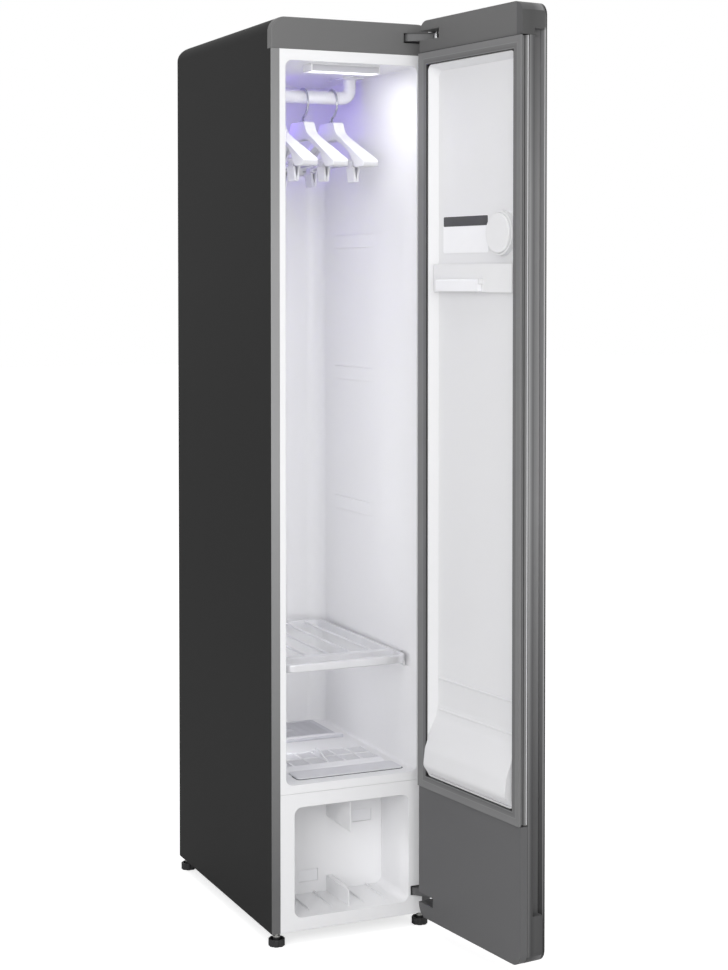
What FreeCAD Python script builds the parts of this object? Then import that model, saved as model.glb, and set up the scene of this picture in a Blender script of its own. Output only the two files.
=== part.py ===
import FreeCAD, Part
import os
from math import cos, pi, radians, sin, tan
from FreeCAD import Vector

# Clothes care steam cabinet, in millimetres. +Z is up, the cabinet faces -Y and its hinges are on
# the +X side. The origin is the centre of the sole of the front left levelling foot.

# ---- cabinet body ----------------------------------------------------------------------------
body_width = 350.0
body_depth = 572.0
body_height = 1850.0          # floor to roof
base_height = 27.0            # floor to the underside of the base pan
foot_inset = 16.0             # foot centre in from the side, front and back faces
sheet = 1.0                   # steel of the wrap, back panel and base pan
top_radius = 30.0             # bends along the roof
seat = 0.3                    # clearance between pieces that seat on each other
running = 0.05                # radial clearance of a pin or shaft that turns

left = -foot_inset
right = left + body_width
front = -foot_inset
back = front + body_depth
middle = (left + right) / 2

cap_height = 63.0
cap_depth = 19.0
cap_wall = 2.5
cap_bottom = body_height - cap_height
trim_width = 18.0
trim_thickness = 1.5
trim_return = 15.0

# ---- cavity ----------------------------------------------------------------------------------
liner_wall = 3.0
frame_thickness = 3.0         # white front frame
cavity_inset = 31.0           # side of the cabinet to the cavity wall
cavity_depth = 505.0
floor_level = 322.0
ceiling_level = body_height - 85.0
opening_radius = 14.0         # corners of the front opening
ceiling_radius = 5.0          # walls to ceiling and floor
back_corner_radius = 35.0
module_top = 304.5            # joint between the cavity frame and the tank module
ledge_height = 28.0
ledge_relief = 3.0
top_ledge = ceiling_level - 335.0
ledge_pitch = 290.0
ledge_count = 3
ledge_start = 205.0           # from the front face
ledge_end = 426.0
ledge_fade = 85.0

cavity_left = left + cavity_inset
cavity_right = right - cavity_inset
cavity_width = cavity_right - cavity_left
cavity_back = front + cavity_depth

# ---- tank bay and machine room ---------------------------------------------------------------
bay_left = left + 49.0
bay_right = right - 49.0
bay_bottom = 53.5
bay_top = 276.0
bay_depth = 135.0
bay_radius = 16.0
bay_wall = 2.5
fin_crease = 67.0             # from the front face
fin_thickness = 12.0
fin_upper_start = 19.0
fin_upper_low = 207.0
fin_lower_start = 28.0
fin_lower_height = 32.5
runner_height = 3.5
coupling_half = 22.0          # half width of a coupling's pocket
coupling_half_height = 12.5
room_front = front + bay_depth + 12.0

# ---- shelf -----------------------------------------------------------------------------------
shelf_level = 541.0           # underside of the hoop
shelf_height = 17.0
shelf_band = 8.0              # width of the hoop's strip
shelf_gap = 5.0               # hoop to the cavity wall
shelf_front = front + 25.0
shelf_back = front + 490.0
shelf_corner = 29.0
shelf_edge_round = 3.5
shelf_bar_front = front + 75.0
shelf_bar_depth = 22.0
shelf_bar_height = 10.0
shelf_bar_gap = 6.0           # end of the bar to the hoop
pocket_depth_side = 2.5       # pocket in the wall beside the hoop's front corner
shelf_rods = 5
shelf_rod_pitch = 48.5
shelf_rod_radius = 2.5
rest_width = 9.0
rest_height = 6.0

# ---- floor pieces ----------------------------------------------------------------------------
filter_width = 238.0
filter_front = front + 97.0
filter_back = front + 229.0
filter_height = 26.0
filter_rise = 5.0
filter_columns = 6
filter_rows = 2
filter_lip = 25.0
filter_bar = 4.0
filter_depth = filter_back - filter_front
tray_left = left + 70.0
tray_right = right - 46.0
tray_front = front + 33.0
tray_back = front + 90.0
tray_drop = 16.0
tray_rise = 3.0
outlet_width = 234.0
outlet_front = front + 344.0
outlet_back = front + 494.0
outlet_slots = 11
outlet_plate = 3.0
outlet_bar = 17.0             # depth of the rolled bar before the slots

# ---- lamp ------------------------------------------------------------------------------------
lamp_left = middle - 76.0
lamp_right = middle + 76.0
lamp_front = front + 33.0
lamp_back = front + 74.0
lamp_drop = 15.0
lamp_rise = 20.0
lens_thickness = 2.0

# ---- hanger rail and its drive ---------------------------------------------------------------
rail_y = front + 262.0
rail_level = ceiling_level - 44.0
rail_radius = 14.0
rail_arm = cavity_width / 2 - 35.0   # rail centre to each arm
rail_bend = 19.0
rail_stroke = 6.0             # each way
rail_cover_half = 24.0        # cover plate, along the rail
rail_cover_depth_half = 20.0
rail_cover_thickness = 3.0
carriage_bottom = ceiling_level + 24.0
carriage_height = 8.0
carriage_depth = 30.0
guide_inset = 47.0            # rail arm to the middle of a guide
guide_length = 44.0
guide_wall = 4.0
crank_offset = 44.0           # crank centre behind the rail
crank_pin_radius = 3.0
crank_disc_radius = 15.0
crank_disc_height = 5.0
motor_radius = 21.0
motor_height = 34.0

# ---- hangers ---------------------------------------------------------------------------------
hanger_count = 3
hanger_pitch = 67.0
hanger_half = 205.0
neck_half = 35.0
neck_foot = 50.0              # centre to where the neck meets the shoulder
neck_top = rail_level - 55.0
neck_low = rail_level - 80.0
arch_reach = hanger_half - 47.0   # centre to the blocks that hold the trouser rod
arch_half = 50.0
arch_top = rail_level - 93.0
haunch_half = arch_reach - 30.0
haunch = rail_level - 124.0
tip_top = rail_level - 146.0
tip_bottom = rail_level - 157.0
shoulder_half = 17.5
shoulder_start = 80.0         # centre to where the hanger begins to widen
shoulder_full = hanger_half - 20.0
neck_thickness_half = 12.0
hanger_wall = 3.0
hanger_end_wall = 8.0
hook_wire_radius = 2.5
hook_end = 250.0              # turn of the hook, from its lowest point
wire_radius = 2.0
rod_seat = 6.0                # depth of the trouser rod in each block
hook_radius = 30.0
clip_offset = arch_reach - 44.0
clip_width = 36.0
clip_eye = 5.0
clip_rod_level = rail_level - 149.5
clip_bottom = rail_level - 186.0
clip_lever = 11.0             # rod centre to the top of a jaw

# ---- door ------------------------------------------------------------------------------------
door_bottom = 37.0
door_overhang = 1.0           # beyond each side of the body
door_width = body_width + 2 * door_overhang
door_gap = 5.0                # body face to the caps' inner face when shut
gasket_proud = 4.0
cover_thickness = 16.0
panel_thickness = 6.0
door_thickness = 56.0
door_radius = 25.0
edge_strip_top = 28.0         # depth at which the pull channel starts
channel_depth = 14.0
channel_bottom = 130.0
channel_top = body_height - 51.0
ring_wall = 6.0
free_wall = 20.0
gasket_edge = 1.5
gasket_hinge_width = 30.0
gasket_free_width = 22.5
gasket_end_width = 26.0
rim_gap = 0.5
dish_depth = 18.0
dish_slope = 10.0
dish_wall = 2.5
rib_levels = (530.0, 467.0)
rib_radius = 3.0
flare_top = 478.0
flare_proud = 14.0
flare_hinge = 37.5            # ends of the flared foot, from the hinge edge
flare_free = door_width - 34.0
door_open = 97.0              # angle of the door as it stands
pull_back = door_thickness - panel_thickness

door_right = right + door_overhang
door_inner = front - door_gap

# ---- hinges ----------------------------------------------------------------------------------
pivot_inset = 8.0
pivot_depth = 36.0
pin_radius = 3.5
bush_radius = 5.5
barrel_radius = 7.5
arm_height = 14.0
top_arm_level = body_height - 36.0
bottom_arm_level = 68.0
arm_clearance = 3.0
pin_overlap = 8.0
top_arm_left = right - 58.0
bottom_arm_left = right - 41.0
arm_right = right - 20.0
top_pocket = 70.0
bottom_pocket = 52.0
pocket_depth = 46.0
hinge_block = 66.0
pivot = Vector(door_right - pivot_inset, door_inner - pivot_depth, 0)

# ---- pieces on the door liner ----------------------------------------------------------------
cap_centre_u = door_width - 85.0
cap_level = body_height - 430.0
cap_ring_radius = 43.0
cap_radius = 38.5
cap_ring_height = 11.0
cap_height_proud = 16.0
clamp_top = cap_level - 58.0
clamp_bottom = clamp_top - 55.0
clamp_left_u = 46.5
clamp_right_u = door_width - 39.0
clamp_proud = 14.0
lever_start_u = 68.0
lever_end_u = 214.0
lever_bottom = clamp_bottom + 2.0
lever_pivot_level = clamp_bottom + 21.0
lever_half = 4.7
lever_pin_radius = 2.0

# ---- feet ------------------------------------------------------------------------------------
foot_radius = 16.5
foot_knob_height = 14.0
foot_collar_radius = 7.5
foot_collar_height = 6.0
foot_flutes = 8
stem_radius = 4.0
stem_top = base_height + 16.0
nut_radius = 9.0
nut_height = 10.0
boss_top = base_height + 2 * sheet + nut_height


# ---- shared shapes ---------------------------------------------------------------------------
def box(x0, x1, y0, y1, z0, z1):
    """Block between two corners."""
    return Part.makeBox(x1 - x0, y1 - y0, z1 - z0, Vector(x0, y0, z0))


def rod(radius, start, end):
    """Round bar between two points."""
    along = end - start
    return Part.makeCylinder(radius, along.Length, start, along)


def place_point(axis, a, b, level):
    """Point of an outline drawn square to an axis."""
    if axis == "x":
        return Vector(level, a, b)
    if axis == "y":
        return Vector(a, level, b)
    return Vector(a, b, level)


def outline(corners, axis, level):
    """Closed wire through (a, b, radius) corners, each rounded by its own radius."""
    points = [place_point(axis, a, b, level) for a, b, radius in corners]
    edges = []
    spans = []
    for i, (a, b, radius) in enumerate(corners):
        here = points[i]
        to_last = (points[i - 1] - here).normalize()
        to_next = (points[(i + 1) % len(points)] - here).normalize()
        half = to_last.getAngle(to_next) / 2
        reach = radius / tan(half)
        first = here + to_last * reach
        last = here + to_next * reach
        if radius > 0:
            inward = (to_last + to_next).normalize()
            crown = here + inward * (radius / sin(half) - radius)
            edges.append(Part.Arc(first, crown, last).toShape())
        spans.append((first, last))
    for i, (first, last) in enumerate(spans):
        start = spans[i - 1][1]
        if (first - start).Length > 1e-6:
            edges.append(Part.makeLine(start, first))
    return Part.Wire(Part.__sortEdges__(edges))


def prism(corners, axis, low, high):
    """Solid with a rounded outline, square to an axis, from low to high."""
    unit = place_point(axis, 0, 0, 1)
    return Part.Face(outline(corners, axis, low)).extrude(unit * (high - low))


def rectangle(a0, a1, b0, b1, radius=0.0, top_only=False):
    """Corners of a rectangle with equal rounds, or with rounds at the high-b side only."""
    low = 0.0 if top_only else radius
    return [(a0, b0, low), (a1, b0, low), (a1, b1, radius), (a0, b1, radius)]


def fuse(shapes):
    """One solid from several that touch."""
    whole = shapes[0]
    for shape in shapes[1:]:
        whole = whole.fuse(shape)
    return whole.removeSplitter()


def bent_rod(points, bend, radius):
    """Round bar along straight runs joined by tangent arcs."""
    edges = []
    start = points[0]
    for before, corner, after in zip(points, points[1:], points[2:]):
        to_last = (before - corner).normalize()
        to_next = (after - corner).normalize()
        half = to_last.getAngle(to_next) / 2
        first = corner + to_last * (bend / tan(half))
        last = corner + to_next * (bend / tan(half))
        crown = corner + (to_last + to_next).normalize() * (bend / sin(half) - bend)
        edges.append(Part.makeLine(start, first))
        edges.append(Part.Arc(first, crown, last).toShape())
        start = last
    edges.append(Part.makeLine(start, points[-1]))
    section = Part.Wire(Part.makeCircle(radius, points[0], points[1] - points[0]))
    return Part.Wire(edges).makePipeShell([section], True, True)


def mirrored(shape):
    """The same piece on the other side of the cabinet."""
    return shape.mirror(Vector(middle, 0, 0), Vector(1, 0, 0))


# ---- door shapes: u runs from the hinge edge, v from the caps' inner face to the front ---------
def door_slab(corners, v0, v1):
    """Solid from (u, z, radius) corners between two depths."""
    placed = [(door_right - u, z, radius) for u, z, radius in corners]
    return prism(placed, "y", door_inner - v1, door_inner - v0)


def door_box(u0, u1, v0, v1, z0, z1):
    return box(door_right - u1, door_right - u0, door_inner - v1, door_inner - v0, z0, z1)


def door_point(u, v, z):
    return Vector(door_right - u, door_inner - v, z)


def swing(shape):
    """Turn a piece of the shut door to the angle at which the door stands."""
    turned = shape.copy()
    turned.rotate(pivot, Vector(0, 0, 1), door_open)
    return turned


# ---- cabinet ---------------------------------------------------------------------------------
def rounded_body(inset):
    """Block with rounded roof edges at both sides and the back, inset from the outer faces."""
    radius = top_radius - inset
    low = base_height - inset
    high = body_height - inset
    front_view = rectangle(left + inset, right - inset, low, high, radius, top_only=True)
    side_view = [(front - 1, low, 0), (back - inset, low, 0),
                 (back - inset, high, radius), (front - 1, high, 0)]
    across = prism(front_view, "y", front - 1, back - inset)
    return across.common(prism(side_view, "x", left, right))


def outer_wrap():
    """Both sides and the roof from one sheet; the back and front stay open."""
    shell = rounded_body(0).cut(rounded_body(sheet))
    rear_window = box(left + sheet, right - sheet, back - 2 * sheet, back + sheet,
                      base_height - sheet, body_height - top_radius)
    ahead = box(left - 1, right + 1, front - 2, front + trim_thickness,
                base_height - 1, body_height + 1)
    cap_seat = box(left - 1, right + 1, front - 2, front + cap_depth, cap_bottom - seat,
                   body_height + 1)
    return shell.cut(rear_window).cut(ahead).cut(cap_seat)


def vent_slots(columns, rows, low, pitch_x, pitch_z):
    """Blocks that cut rows of rounded louvre slots through the back panel."""
    slots = []
    start = middle - (columns - 1) * pitch_x / 2
    for column in range(columns):
        for row in range(rows):
            x = start + column * pitch_x
            z = low + row * pitch_z
            slots.append(box(x - pitch_x * 0.36, x + pitch_x * 0.36, back - 2 * sheet,
                             back + sheet, z, z + pitch_z * 0.4))
    return slots


cord_x = right - 60.0
cord_level = 70.0
cord_radius = 9.0


def back_panel():
    panel = box(left + sheet + seat, right - sheet - seat, back - sheet, back,
                base_height, body_height - top_radius - seat)
    panel = panel.cut(Part.makeCompound(vent_slots(4, 7, 110.0, 62.0, 16.0)))
    panel = panel.cut(Part.makeCompound(vent_slots(3, 3, body_height - 150.0, 62.0, 16.0)))
    panel = panel.cut(rod(cord_radius - 2, Vector(cord_x, back - 5, cord_level),
                          Vector(cord_x, back + 5, cord_level)))
    return Part.makeCompound([panel, cord_bushing()])


def cord_bushing():
    """Flanged bushing in the back panel where a mains lead would leave."""
    start = Vector(cord_x, back - sheet - 6, cord_level)
    neck = rod(cord_radius - 2, start, Vector(cord_x, back, cord_level))
    flange = rod(cord_radius, start, Vector(cord_x, back - sheet, cord_level))
    bore = rod(cord_radius - 5, start - Vector(0, 1, 0), Vector(cord_x, back + 1, cord_level))
    return fuse([neck, flange]).cut(bore)


foot_places = {"foot_front_left": (0.0, 0.0),
               "foot_front_right": (body_width - 2 * foot_inset, 0.0),
               "foot_back_left": (0.0, body_depth - 2 * foot_inset),
               "foot_back_right": (body_width - 2 * foot_inset, body_depth - 2 * foot_inset)}


def base_pan():
    """Folded steel tray with a threaded boss over each foot."""
    x0, x1 = left + sheet + seat, right - sheet - seat
    y0, y1 = front + frame_thickness + seat, back - sheet - seat
    flange = 18.0
    tray = box(x0, x1, y0, y1, base_height, base_height + flange)
    tray = tray.cut(box(x0 + 2 * sheet, x1 - 2 * sheet, y0 + 2 * sheet, y1 - 2 * sheet,
                        base_height + 2 * sheet, base_height + flange + 1))
    bosses = [rod(nut_radius, Vector(x, y, base_height), Vector(x, y, boss_top))
              for x, y in foot_places.values()]
    tray = fuse([tray] + bosses)
    for x, y in foot_places.values():
        tray = tray.cut(rod(stem_radius + running, Vector(x, y, 0), Vector(x, y, 100)))
    return tray


def foot(x, y):
    """Fluted knob with a collar and a stem that screws into the base pan."""
    knob = rod(foot_radius, Vector(x, y, 0), Vector(x, y, foot_knob_height))
    for i in range(foot_flutes):
        turn = 2 * pi * i / foot_flutes
        spot = Vector(x + (foot_radius + 3.2) * cos(turn), y + (foot_radius + 3.2) * sin(turn), -1)
        knob = knob.cut(rod(4.6, spot, spot + Vector(0, 0, foot_knob_height + 2)))
    well = rod(foot_radius - 4, Vector(x, y, foot_knob_height - 4), Vector(x, y, foot_knob_height + 1))
    collar = rod(foot_collar_radius, Vector(x, y, foot_knob_height - 5),
                 Vector(x, y, foot_knob_height + foot_collar_height))
    stem = rod(stem_radius, Vector(x, y, foot_knob_height), Vector(x, y, stem_top))
    return fuse([knob.cut(well), collar, stem])


def front_cap():
    """Hollow cap across the top of the front, slotted for the upper hinge arm."""
    face = rectangle(left, right, cap_bottom, body_height, top_radius, top_only=True)
    hollow = rectangle(left + cap_wall, right - cap_wall, cap_bottom + cap_wall,
                       body_height - cap_wall, top_radius - cap_wall, top_only=True)
    cap = prism(face, "y", front, front + cap_depth)
    edges = [edge for edge in cap.Edges
             if abs(edge.BoundBox.YMax - front) < 1e-6 and edge.BoundBox.ZMax > cap_bottom + 1]
    cap = cap.makeFillet(cap_wall, edges)
    cap = cap.cut(prism(hollow, "y", front + cap_wall, front + cap_depth + 1))
    slot = box(top_arm_left - arm_clearance, arm_right + arm_clearance, front - 1,
               front + cap_depth + 1, top_arm_level - arm_clearance,
               top_arm_level + arm_height + arm_clearance)
    return cap.cut(slot)


def front_trim():
    """Pair of folded strips down the front edges of the wrap."""
    top = cap_bottom - seat
    face = box(left, left + trim_width, front, front + trim_thickness, base_height, top)
    leg = box(left + sheet + seat, left + sheet + seat + trim_thickness, front,
              front + trim_thickness + trim_return, base_height + 20, top)
    strip = fuse([face, leg])
    return Part.makeCompound([strip, mirrored(strip)])


# ---- cavity liner ----------------------------------------------------------------------------
def cavity_block(grow, y_start):
    """The cavity's inside, grown by a wall on every side but the front."""
    across = prism(rectangle(cavity_left - grow, cavity_right + grow, floor_level - grow,
                             ceiling_level + grow, ceiling_radius + grow),
                   "y", y_start, cavity_back + grow)
    radius = back_corner_radius + grow
    plan = [(cavity_left - grow, y_start, 0), (cavity_right + grow, y_start, 0),
            (cavity_right + grow, cavity_back + grow, radius),
            (cavity_left - grow, cavity_back + grow, radius)]
    return across.common(prism(plan, "z", floor_level - grow, ceiling_level + grow))


def wall_ledge(top):
    """Raised pad on the left wall: round at the back, fading into the wall at the front."""
    start, end = front + ledge_start, front + ledge_end
    skin = cavity_left - 1
    plan = [(skin, start, 0), (cavity_left, start, 0), (cavity_left + ledge_relief,
            start + ledge_fade, 0), (cavity_left + ledge_relief, end, 0), (skin, end, 0)]
    side = [(start, top - ledge_height, 0), (end, top - ledge_height, ledge_height * 0.3),
            (end, top, ledge_height * 0.3), (start, top, 0)]
    return prism(plan, "z", top - ledge_height, top).common(
        prism(side, "x", skin, cavity_left + ledge_relief))


def shelf_rest():
    """Bracket moulded on the left wall that the shelf hoop stands on."""
    top = shelf_level - seat
    profile = [(cavity_left - 1, top - 2 * rest_height, 0), (cavity_left + 1, top - 2 * rest_height, 0),
               (cavity_left + rest_width, top - 4, 0), (cavity_left + rest_width, top, 0),
               (cavity_left - 1, top, 0)]
    return prism(profile, "y", shelf_front + shelf_corner, shelf_back - shelf_corner)


def shelf_pocket(depth, margin):
    """Shallow pocket in the left wall beside the shelf's front corner, or the boss behind it."""
    inner = cavity_left if margin == 0 else cavity_left - 1
    return prism(rectangle(shelf_front + 8 - margin, shelf_front + 52 + margin,
                           shelf_level - 10 - margin, shelf_level + shelf_height + 1 + margin, 9 + margin),
                 "x", cavity_left - depth, inner)


def ceiling_details():
    """Low rib across the back of the ceiling and the button of the air sensor."""
    rib = box(cavity_left + 45, cavity_right - 42, front + 463, front + 467, ceiling_level - 1.2,
              ceiling_level + 1)
    button = prism(rectangle(middle + 82, middle + 92, front + 321, front + 331, 2.0), "z",
                   ceiling_level - 2.5, ceiling_level + 1)
    return [rib, button]


def rail_slot(x):
    """Ceiling slot for one rail arm, long enough for the shuttle."""
    reach = rail_radius + rail_stroke + seat
    across = rail_radius + 1
    return box(x - reach, x + reach, rail_y - across, rail_y + across,
               ceiling_level - ceiling_radius, ceiling_level + liner_wall + 1)


def cavity_liner():
    """White moulding: front frame, five walls, shelf ledges and the floor's openings."""
    frame = box(left + trim_width + seat, right - trim_width - seat, front, front + frame_thickness,
                module_top, cap_bottom - seat)
    frame = frame.cut(prism(rectangle(cavity_left, cavity_right, floor_level, ceiling_level,
                                      opening_radius), "y", front - 1, front + 10))
    walls = cavity_block(liner_wall, front + 1).cut(cavity_block(0, front))
    liner = frame.fuse(walls)
    pads = [wall_ledge(top_ledge - i * ledge_pitch) for i in range(ledge_count)] + [shelf_rest()]
    pads.append(shelf_pocket(pocket_depth_side + liner_wall, liner_wall))
    liner = fuse([liner] + pads + [mirrored(pad) for pad in pads] + ceiling_details())
    pocket = shelf_pocket(pocket_depth_side, 0)
    floor_low, floor_high = floor_level - liner_wall - 1, floor_level + 1
    half_filter, half_outlet = filter_width / 2, outlet_width / 2
    cuts = [box(middle - half_filter - seat, middle + half_filter + seat, filter_front - seat,
                filter_back + seat, floor_low, floor_high),
            box(tray_left + 6, tray_right - 6, tray_front + 6, tray_back - 6, floor_low, floor_high),
            box(middle - half_outlet + 6, middle + half_outlet - 6, outlet_front + 6,
                outlet_back - 6, floor_low, floor_high),
            box(lamp_left - seat, lamp_right + seat, lamp_front - seat, lamp_back + seat,
                ceiling_level - 1, ceiling_level + liner_wall + 1),
            rail_slot(middle - rail_arm), rail_slot(middle + rail_arm),
            pocket, mirrored(pocket)]
    return liner.cut(Part.makeCompound(cuts))


# ---- tank bay --------------------------------------------------------------------------------
def tank_bay():
    """Lower front moulding: frame, open bay and the guides that two water tanks slide on."""
    frame = box(left + trim_width + seat, right - trim_width - seat, front,
                front + frame_thickness, base_height, module_top - seat)
    outer = prism(rectangle(bay_left - bay_wall, bay_right + bay_wall, bay_bottom - bay_wall,
                            bay_top + bay_wall, bay_radius + bay_wall),
                  "y", front + 1, front + bay_depth + bay_wall)
    inner = prism(rectangle(bay_left, bay_right, bay_bottom, bay_top, bay_radius),
                  "y", front - 1, front + bay_depth)
    arm_hole = box(bottom_arm_left - arm_clearance, right, front - 1, front + frame_thickness + 1,
                   bottom_arm_level - arm_clearance, bottom_arm_level + arm_height + arm_clearance)
    shell = frame.fuse(outer).cut(inner)
    return fuse([shell] + bay_guides()).cut(bay_recesses()).cut(arm_hole)


def bay_fin(start, low, high):
    """Tapered fin between the two tanks, creased part way along and slim at its front."""
    far = front + bay_depth + 1
    crease = front + fin_crease
    return prism([(middle, far, 0), (middle, crease, 8), (middle + 3, front + start, 0),
                  (middle + 5.5, front + start, 0), (middle + fin_thickness, crease, 8),
                  (middle + fin_thickness, far, 0)], "z", low, high)


def bay_guides():
    """Upper and lower fin between the two tanks, and two runners under each tank."""
    far = front + bay_depth + 1
    upper = bay_fin(fin_upper_start, fin_upper_low, bay_top + 1)
    bevel = prism([(middle - 1, bay_top + 2, 0), (middle - 1, fin_upper_low + 8, 0),
                   (middle + 4.5, fin_upper_low - 1, 0), (middle + fin_thickness + 1, fin_upper_low - 1, 0),
                   (middle + fin_thickness + 1, bay_top + 2, 0)], "y", front, far + 1)
    lower = bay_fin(fin_lower_start, bay_bottom - 1, bay_bottom + fin_lower_height)
    runners = []
    for offset in (-85, -35, 35, 85):
        x = middle + fin_thickness / 2 + offset
        runners.append(prism([(far, bay_bottom - 1, 0), (far, bay_bottom + runner_height, 0),
                              (front + 44, bay_bottom + runner_height, 0), (front + 30, bay_bottom, 0),
                              (front + 30, bay_bottom - 1, 0)], "x", x - 1.5, x + 1.5))
    return [upper.common(bevel), lower] + runners


def coupling_places():
    """Centres of the supply and drain couplings on the bay's back wall."""
    return [(middle + 81, bay_top - 73), (middle - 41, bay_bottom + 37)]


def bay_recesses():
    """Pockets in the bay's back wall over the two tank couplings."""
    face = front + bay_depth
    return Part.makeCompound([box(x - coupling_half, x + coupling_half, face - 1, face + bay_wall + 1,
                                  z - coupling_half_height, z + coupling_half_height)
                              for x, z in coupling_places()])


def water_couplings():
    """Supply and drain couplings behind the bay's back wall, each with a hose barb."""
    face = front + bay_depth + bay_wall + seat
    pieces = []
    for x, z in coupling_places():
        plate = box(x - coupling_half - 5, x + coupling_half + 5, face, face + 3,
                    z - coupling_half_height - 5, z + coupling_half_height + 5)
        barb = rod(6.0, Vector(x, face + 2, z), Vector(x, face + 9, z))
        bore = rod(3.5, Vector(x, face + 4, z), Vector(x, face + 10, z))
        pieces.append(fuse([plate, barb]).cut(bore))
    return Part.makeCompound(pieces)


# ---- floor pieces ----------------------------------------------------------------------------
def aroma_tray():
    """Shallow covered tray along the front of the cavity floor."""
    top = floor_level + tray_rise
    lid = prism(rectangle(tray_left, tray_right, tray_front, tray_back, 8.0), "z",
                floor_level + seat, top)
    lid = lid.makeFillet(1.2, [edge for edge in lid.Edges if edge.BoundBox.ZMin > top - 1e-6])
    cup = box(tray_left + 8, tray_right - 8, tray_front + 8, tray_back - 8,
              floor_level - tray_drop, floor_level + seat)
    return fuse([lid, cup])


def lint_filter():
    """Lift-out filter: deep frame, grid of openings, rolled front lip and a finger fin."""
    half = filter_width / 2
    top = floor_level + filter_rise
    side = [(filter_front, top - filter_height, 0), (filter_back, top - filter_height, 0),
            (filter_back, top, 0), (filter_front + filter_lip, top, 6),
            (filter_front, floor_level + 1, 6)]
    body = prism(side, "x", middle - half, middle + half)
    hollow = box(middle - half + 3, middle + half - 3, filter_front + 3, filter_back - 3,
                 top - filter_height - 1, top - 9)
    body = body.cut(hollow)
    pitch_x = (filter_width - filter_bar) / filter_columns
    pitch_y = (filter_depth - filter_lip - filter_bar) / filter_rows
    openings = []
    for column in range(filter_columns):
        for row in range(filter_rows):
            x = middle - half + filter_bar + column * pitch_x
            y = filter_front + filter_lip + row * pitch_y
            openings.append(box(x, x + pitch_x - filter_bar, y, y + pitch_y - filter_bar,
                                top - 10, top + 1))
    body = body.cut(Part.makeCompound(openings))
    fin_profile = [(filter_front + filter_lip - 6, top - 2, 0), (filter_back - 34, top - 2, 0),
                   (filter_back - 38, top + 15, 6), (filter_back - 52, top + 15, 10)]
    fin_x = middle + filter_bar / 2
    fin = prism(fin_profile, "x", fin_x - filter_bar, fin_x)
    return fuse([body, fin])


def outlet_grille():
    """Slotted plate over the blower outlet, with a rolled bar along its front edge."""
    half = outlet_width / 2
    low, high = floor_level + seat, floor_level + seat + outlet_plate
    plate = prism(rectangle(middle - half, middle + half, outlet_front, outlet_back, 6.0), "z",
                  low, high)
    pitch = (outlet_back - outlet_front - 34) / outlet_slots
    slots = [box(middle - half + 12, middle + half - 12, outlet_front + 24 + i * pitch,
                 outlet_front + 24 + i * pitch + pitch * 0.55, low - 1, high + 1)
             for i in range(outlet_slots)]
    tab = box(middle - 40, middle + 40, outlet_front + 66, outlet_front + 84, low, high)
    bar = prism([(outlet_front - outlet_bar, low, 0), (outlet_front + 2, low, 0),
                 (outlet_front + 2, high + 4, 3), (outlet_front - outlet_bar, high + 4, 4)],
                "x", middle - half - 6, middle + half + 6)
    return fuse([plate.cut(Part.makeCompound(slots)), tab, bar])


# ---- lamp ------------------------------------------------------------------------------------
def lamp_housing():
    """Lamp body set into the ceiling, open below for its lens, with its strip of diodes."""
    low, high = ceiling_level - lamp_drop, ceiling_level + lamp_rise
    body = box(lamp_left, lamp_right, lamp_front, lamp_back, low, high)
    pocket = box(lamp_left + 4, lamp_right - 2, lamp_front - 1, lamp_back - 6, low - 1,
                 ceiling_level - 2)
    return Part.makeCompound([body.cut(pocket), lamp_board()])


def lamp_lens():
    """Frosted L-shaped lens over the front and underside of the lamp."""
    low, high = ceiling_level - lamp_drop, ceiling_level - 2 - seat
    x0, x1 = lamp_left + 4 + seat, lamp_right - 2 - seat
    outer = box(x0, x1, lamp_front, lamp_back - 6 - seat, low, high)
    inner = box(x0 - 1, x1 + 1, lamp_front + lens_thickness, lamp_back, low + lens_thickness, high + 1)
    return outer.cut(inner)


def lamp_board():
    """Strip of light-emitting diodes inside the lamp."""
    y = lamp_back - 6
    board = box(lamp_left + 12, lamp_right - 12, y - 8, y, ceiling_level - 3.6, ceiling_level - 2)
    count = 8
    pitch = (lamp_right - lamp_left - 36) / (count - 1)
    chips = [box(lamp_left + 16 + i * pitch, lamp_left + 20 + i * pitch, y - 6, y - 2,
                 ceiling_level - 4.8, ceiling_level - 3.6) for i in range(count)]
    return fuse([board] + chips)


# ---- hanger rail -----------------------------------------------------------------------------
def hanger_rail():
    """Round rail with two elbows, and a cover plate on each arm under its ceiling slot."""
    x0, x1 = middle - rail_arm, middle + rail_arm
    top = carriage_bottom
    bar = bent_rod([Vector(x0, rail_y, top), Vector(x0, rail_y, rail_level),
                    Vector(x1, rail_y, rail_level), Vector(x1, rail_y, top)],
                   rail_bend, rail_radius)
    cover_high = ceiling_level - seat
    covers = [box(x - rail_cover_half, x + rail_cover_half, rail_y - rail_cover_depth_half,
                  rail_y + rail_cover_depth_half, cover_high - rail_cover_thickness, cover_high)
              for x in (x0, x1)]
    return fuse([bar] + covers)


def rail_carriage():
    """Flat bar over the ceiling that ties both arms, with a slotted tongue for the crank pin."""
    half = carriage_depth / 2
    top = carriage_bottom + carriage_height
    bar = box(middle - rail_arm - 20, middle + rail_arm + 20, rail_y - half, rail_y + half,
              carriage_bottom, top)
    crank_y = rail_y + crank_offset
    tongue = box(middle - 14, middle + 14, rail_y, crank_y + crank_disc_radius,
                 carriage_bottom, carriage_bottom + 4)
    slot_half = crank_pin_radius + 0.5
    slot = box(middle - slot_half, middle + slot_half, crank_y - rail_stroke - slot_half,
               crank_y + rail_stroke + slot_half, carriage_bottom - 1, carriage_bottom + 5)
    return fuse([bar, tongue]).cut(slot)


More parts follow.
